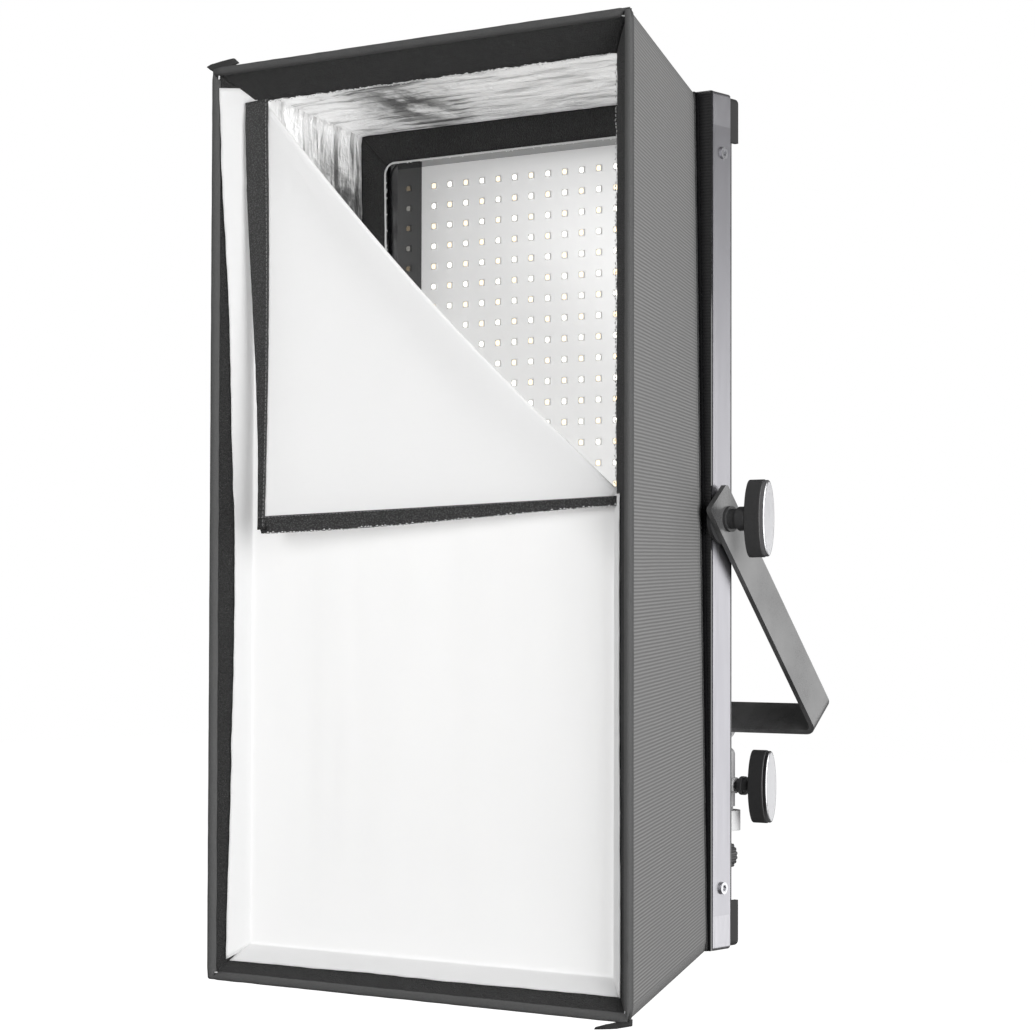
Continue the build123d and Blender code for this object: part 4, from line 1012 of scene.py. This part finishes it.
class Border:
    """A hook strip's edge line on the closed cloth; each station has a start, a width and a curl, in radians."""

    def __init__(self, outward, stations):
        self.outward = outward
        self.stations = stations

    def place(self, n, share, lift):
        """A place across the strip: share 0 is just inside the cloth's edge and 1 is the strip's outer edge."""
        (x, z), start, width, curl = self.stations[n]
        along, across = to_line(x, z)
        offset = share * width + start
        flat = offset * math.cos(curl)
        out_along, out_across = to_line(x + self.outward[0] * flat, z + self.outward[1] * flat)
        out_x, out_z = from_line(out_along, -out_across)
        return out_x, flap_depth(along, max(-across, 0.5)) - 0.9 + math.sin(curl) * offset + lift, out_z

    def piece(self, name):
        def place(i, j):
            ripple = 0.35 * wave(i * 5.0, j / (BORDER_ROWS - 1) * 12, scale=0.12, seed=44)
            x, depth, z = self.place(i, j / (BORDER_ROWS - 1), ripple)
            return head(x, min(depth, FLAP_D - 1.2), z)

        return strip_piece(name, len(self.stations), BORDER_ROWS, place, lambda i, j: (i * 5.0, j * 2.4),
                           "hooks", 0.9, "diffuser_flap")

    def line(self, share, lift):
        line = []
        for n in range(len(self.stations)):
            x, depth, z = self.place(n, share, -lift)
            line.append(head(x, min(depth, FLAP_D - 1.4), z))
        return line


# the closed cut's top edge becomes the flap's left edge, and its right edge the flap's lower edge
LEFT_STATIONS, LOWER_STATIONS = 64, 56
left_stations, lower_stations = [], []
for n in range(LEFT_STATIONS):
    t = n / (LEFT_STATIONS - 1)
    x = mix(top_x + 1, 164.5, t)
    width = 20.6 - 12.6 * smooth((t - 0.15) / 0.85)
    left_stations.append(((x, FLAP_H + FLAP_H_SLOPE * x), -1.5, width, math.radians(mix(-4, 14, t))))
for n in range(LOWER_STATIONS):
    t = n / (LOWER_STATIONS - 1)
    z = mix(314.5, right_z - 5, t)
    width = mix(12.6, 6.4, smooth(t)) + 1.2 * math.sin(math.pi * t)
    lower_stations.append(((FLAP_W + FLAP_W_SLOPE * z, z), mix(-2.2, -1.4, t), width, math.radians(mix(14, 6, t))))
left_border, lower_border = Border((0, 1), left_stations), Border((1, 0), lower_stations)
border_left = left_border.piece("flap_hooks_left")
border_low = lower_border.piece("flap_hooks_lower")
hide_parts("flap_hook_strips")
trims = [
    stitches("flap_stitches_left", left_border.line(0.06, 0.7), 0.3, 3.0, "grey_thread", 0.2, 61,
             "diffuser_flap"),
    stitches("flap_stitches_lower", lower_border.line(0.97, 0.3), 0.45, 2.6, "white_thread", 0.9, 62,
             "diffuser_flap"),
    stitches("flap_stitches_inner", lower_border.line(0.06, 0.7), 0.3, 3.0, "grey_thread", 0.2, 63,
             "diffuser_flap"),
]

# -------- corner tabs of webbing
TAB_THICK = 1.8
# outlines in x and z, from the rim's top left corner and from its bottom right corner
TAB_TOP = [(-6.8, 2.2), (-2.5, 3.6), (8, 4.8), (20, 5.6), (24, 2.0), (12, -1.5), (1, -2.5), (-3, -0.5)]
TAB_BOTTOM = [(1.2, 2.0), (1.0, -2.5), (-10, -5.0), (-28.5, -7.0), (-27, -5.2), (-12, -1.0), (-4, 1.5)]


def tab(name, corner_x, corner_z, outline, seed):
    """A folded end of webbing sewn in at a corner of the rim."""
    bm = bmesh.new()
    bm.faces.new([bm.verts.new((corner_x + x, 0, corner_z + z)) for x, z in outline])
    bmesh.ops.triangulate(bm, faces=bm.faces[:])
    bmesh.ops.subdivide_edges(bm, edges=bm.edges[:], cuts=3, use_grid_fill=True)
    for v in bm.verts:
        v.co.y = RIM_D + 1.5 + 1.0 * wave(v.co.x, v.co.z, scale=0.11, seed=seed)
        v.co = HEAD + v.co * MM
    bmesh.ops.recalc_face_normals(bm, faces=bm.faces)
    mesh = bpy.data.meshes.new(name)
    bm.to_mesh(mesh)
    bm.free()
    obj = link(name, mesh, "webbing")
    solid(obj, TAB_THICK, 0.0)
    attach(obj, "head")
    return obj


tab_top = tab("corner_tab_top", -RIM_W, RIM_H, TAB_TOP, 51)
tab("corner_tab_bottom", RIM_W, -RIM_H, TAB_BOTTOM, 52)
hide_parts("corner_tabs")

# -------- light-emitting packages
LED_HALF, LED_TALL = 2.5 * MM, 1.15 * MM
# rings of the package, from the board up and down into its well: half size, height and cut corner
PACKAGE_RINGS = ((LED_HALF, 0.0, 0.25 * MM), (LED_HALF, LED_TALL * 0.86, 0.25 * MM),
                 (LED_HALF * 0.95, LED_TALL, 0.3 * MM), (LED_HALF * 0.80, LED_TALL, 0.5 * MM),
                 (LED_HALF * 0.72, LED_TALL * 0.72, 0.6 * MM))
# rings of the phosphor in the well: radius and height, as shares
GLOW_RINGS = ((0.72, 0.70), (0.70, 0.80), (0.5, 0.88), (0.25, 0.92))
GLOW_SIDES, GLOW_OVER = 12, 1.12


def block_places(source):
    """The middle of each block's back face, from the blocks of one CAD mesh."""
    bm = bmesh.new()
    bm.from_mesh(source.data)
    bmesh.ops.remove_doubles(bm, verts=bm.verts, dist=1e-6)
    bm.verts.ensure_lookup_table()
    todo = set(range(len(bm.verts)))
    places = []
    while todo:
        stack, members = [todo.pop()], []
        while stack:
            k = stack.pop()
            members.append(bm.verts[k].co)
            for e in bm.verts[k].link_edges:
                other = e.other_vert(bm.verts[k]).index
                if other in todo:
                    todo.remove(other)
                    stack.append(other)
        xs, ys, zs = zip(*members)
        places.append(((min(xs) + max(xs)) / 2, max(ys), (min(zs) + max(zs)) / 2))
    bm.free()
    return sorted(places)


def led_pieces(node, finish):
    """A detailed package with a phosphor dome over each block of the CAD node."""
    package, glow = ([], []), ([], [])
    for cx, cy, cz in block_places(NODES[node]):
        verts, faces = package
        base = len(verts)
        for size, height, cut in PACKAGE_RINGS:
            ring = [(-size + cut, -size), (size - cut, -size), (size, -size + cut), (size, size - cut),
                    (size - cut, size), (-size + cut, size), (-size, size - cut), (-size, -size + cut)]
            verts.extend(Vector((cx + a, cy - height, cz + b)) for a, b in ring)
        join_rings(faces, base, len(PACKAGE_RINGS), 8)
        verts, faces = glow
        base = len(verts)
        for share, height in GLOW_RINGS:
            size = LED_HALF * share * GLOW_OVER
            for m in range(GLOW_SIDES):
                angle = math.tau * (m + 0.5) / GLOW_SIDES
                x, z = size * math.cos(angle), size * math.sin(angle)
                verts.append(Vector((cx + x, cy - LED_TALL * height, cz + z)))
        join_rings(faces, base, len(GLOW_RINGS), GLOW_SIDES)
        faces.append(tuple(len(verts) - GLOW_SIDES + m for m in range(GLOW_SIDES)))
    packages = make(node + "_packages", *package, "package")
    packages.data.polygons.foreach_set("use_smooth", [False] * len(packages.data.polygons))
    phosphor = make(node + "_phosphor", *glow, finish)
    for obj in (packages, phosphor):
        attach(obj, "head")
        settle(obj, forward=True)
    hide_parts(node)


led_pieces("leds_warm", "warm")
led_pieces("leds_cool", "cool")

# -------- floor, light and camera
lo, hi = CAD_BOX
centre = (lo + hi) / 2
FLOOR_Z = lo.z - 0.35
FLOOR_SPAN, FLOOR_CELLS = (-9, 9), 40
WORLD_LIGHT, WORLD_SEEN = 0.12, 1.0  # the world's strength on the object, and behind it


def floor_point(i, j):
    return Vector((mix(*FLOOR_SPAN, i / FLOOR_CELLS), mix(*FLOOR_SPAN, j / FLOOR_CELLS), FLOOR_Z))


points, faces, uvs = grid(FLOOR_CELLS + 1, FLOOR_CELLS + 1, floor_point)
floor = make("floor", points, faces)
paper = Shader("pale_floor")
fibre = paper.noise(paper.place(40), 1.0, 3.0)
paper.set(Base_Color=paper.blend(fibre, grey(0.90), grey(0.94)), Roughness=paper.vary(fibre, 0.8, 0.9))
paper.set(Emission_Color=grey(1.0), Emission_Strength=0.92, Normal=paper.bump(fibre, 0.05, 0.1))
floor.data.materials.append(paper.material)
floor.visible_diffuse = False
floor.visible_glossy = False

world = bpy.data.worlds.new("studio")
bpy.context.scene.world = world
world.use_nodes = True
tree = world.node_tree
background = tree.nodes["Background"]
background.inputs["Color"].default_value = (1, 1, 1, 1)
ray = tree.nodes.new("ShaderNodeLightPath")
level = tree.nodes.new("ShaderNodeMapRange")
level.inputs["To Min"].default_value = WORLD_LIGHT
level.inputs["To Max"].default_value = WORLD_SEEN
tree.links.new(ray.outputs["Is Camera Ray"], level.inputs["Value"])
tree.links.new(level.outputs[0], background.inputs["Strength"])


def area_light(name, offset, width, height, power):
    """A white area light at an offset from the middle of the model, aimed at it."""
    data = bpy.data.lights.new(name, "AREA")
    data.shape, data.size, data.size_y, data.energy = "RECTANGLE", width, height, power
    obj = bpy.data.objects.new(name, data)
    obj.location = centre + Vector(offset)
    obj.rotation_euler = (-Vector(offset)).to_track_quat("-Z", "Y").to_euler()
    bpy.context.scene.collection.objects.link(obj)


area_light("right_key", (2.3, -0.75, 0.2), 1.4, 2.2, 80)
area_light("right_back_panel", (2.2, 2.4, -0.3), 2.6, 1.6, 26)
area_light("front_fill", (-1.2, -2.5, 0.9), 1.8, 1.8, 44)

ROLL = math.radians(0.15)
eye, aim = head(1278.4, -1711.8, -64.7), head(-13.6, 0, 3.73)
camera_data = bpy.data.cameras.new("camera")
camera_data.sensor_width = 36
camera_data.lens = 102.23
camera_data.clip_end = 100
camera = bpy.data.objects.new("camera", camera_data)
bpy.context.scene.collection.objects.link(camera)
camera.location = eye
camera.rotation_mode = "QUATERNION"
camera.rotation_quaternion = (aim - eye).to_track_quat("-Z", "Y") @ Quaternion((0, 0, 1), ROLL)
bpy.context.scene.camera = camera
view_settings = bpy.context.scene.view_settings
view_settings.view_transform = "Standard"
view_settings.look = "None"
view_settings.exposure = 0.0
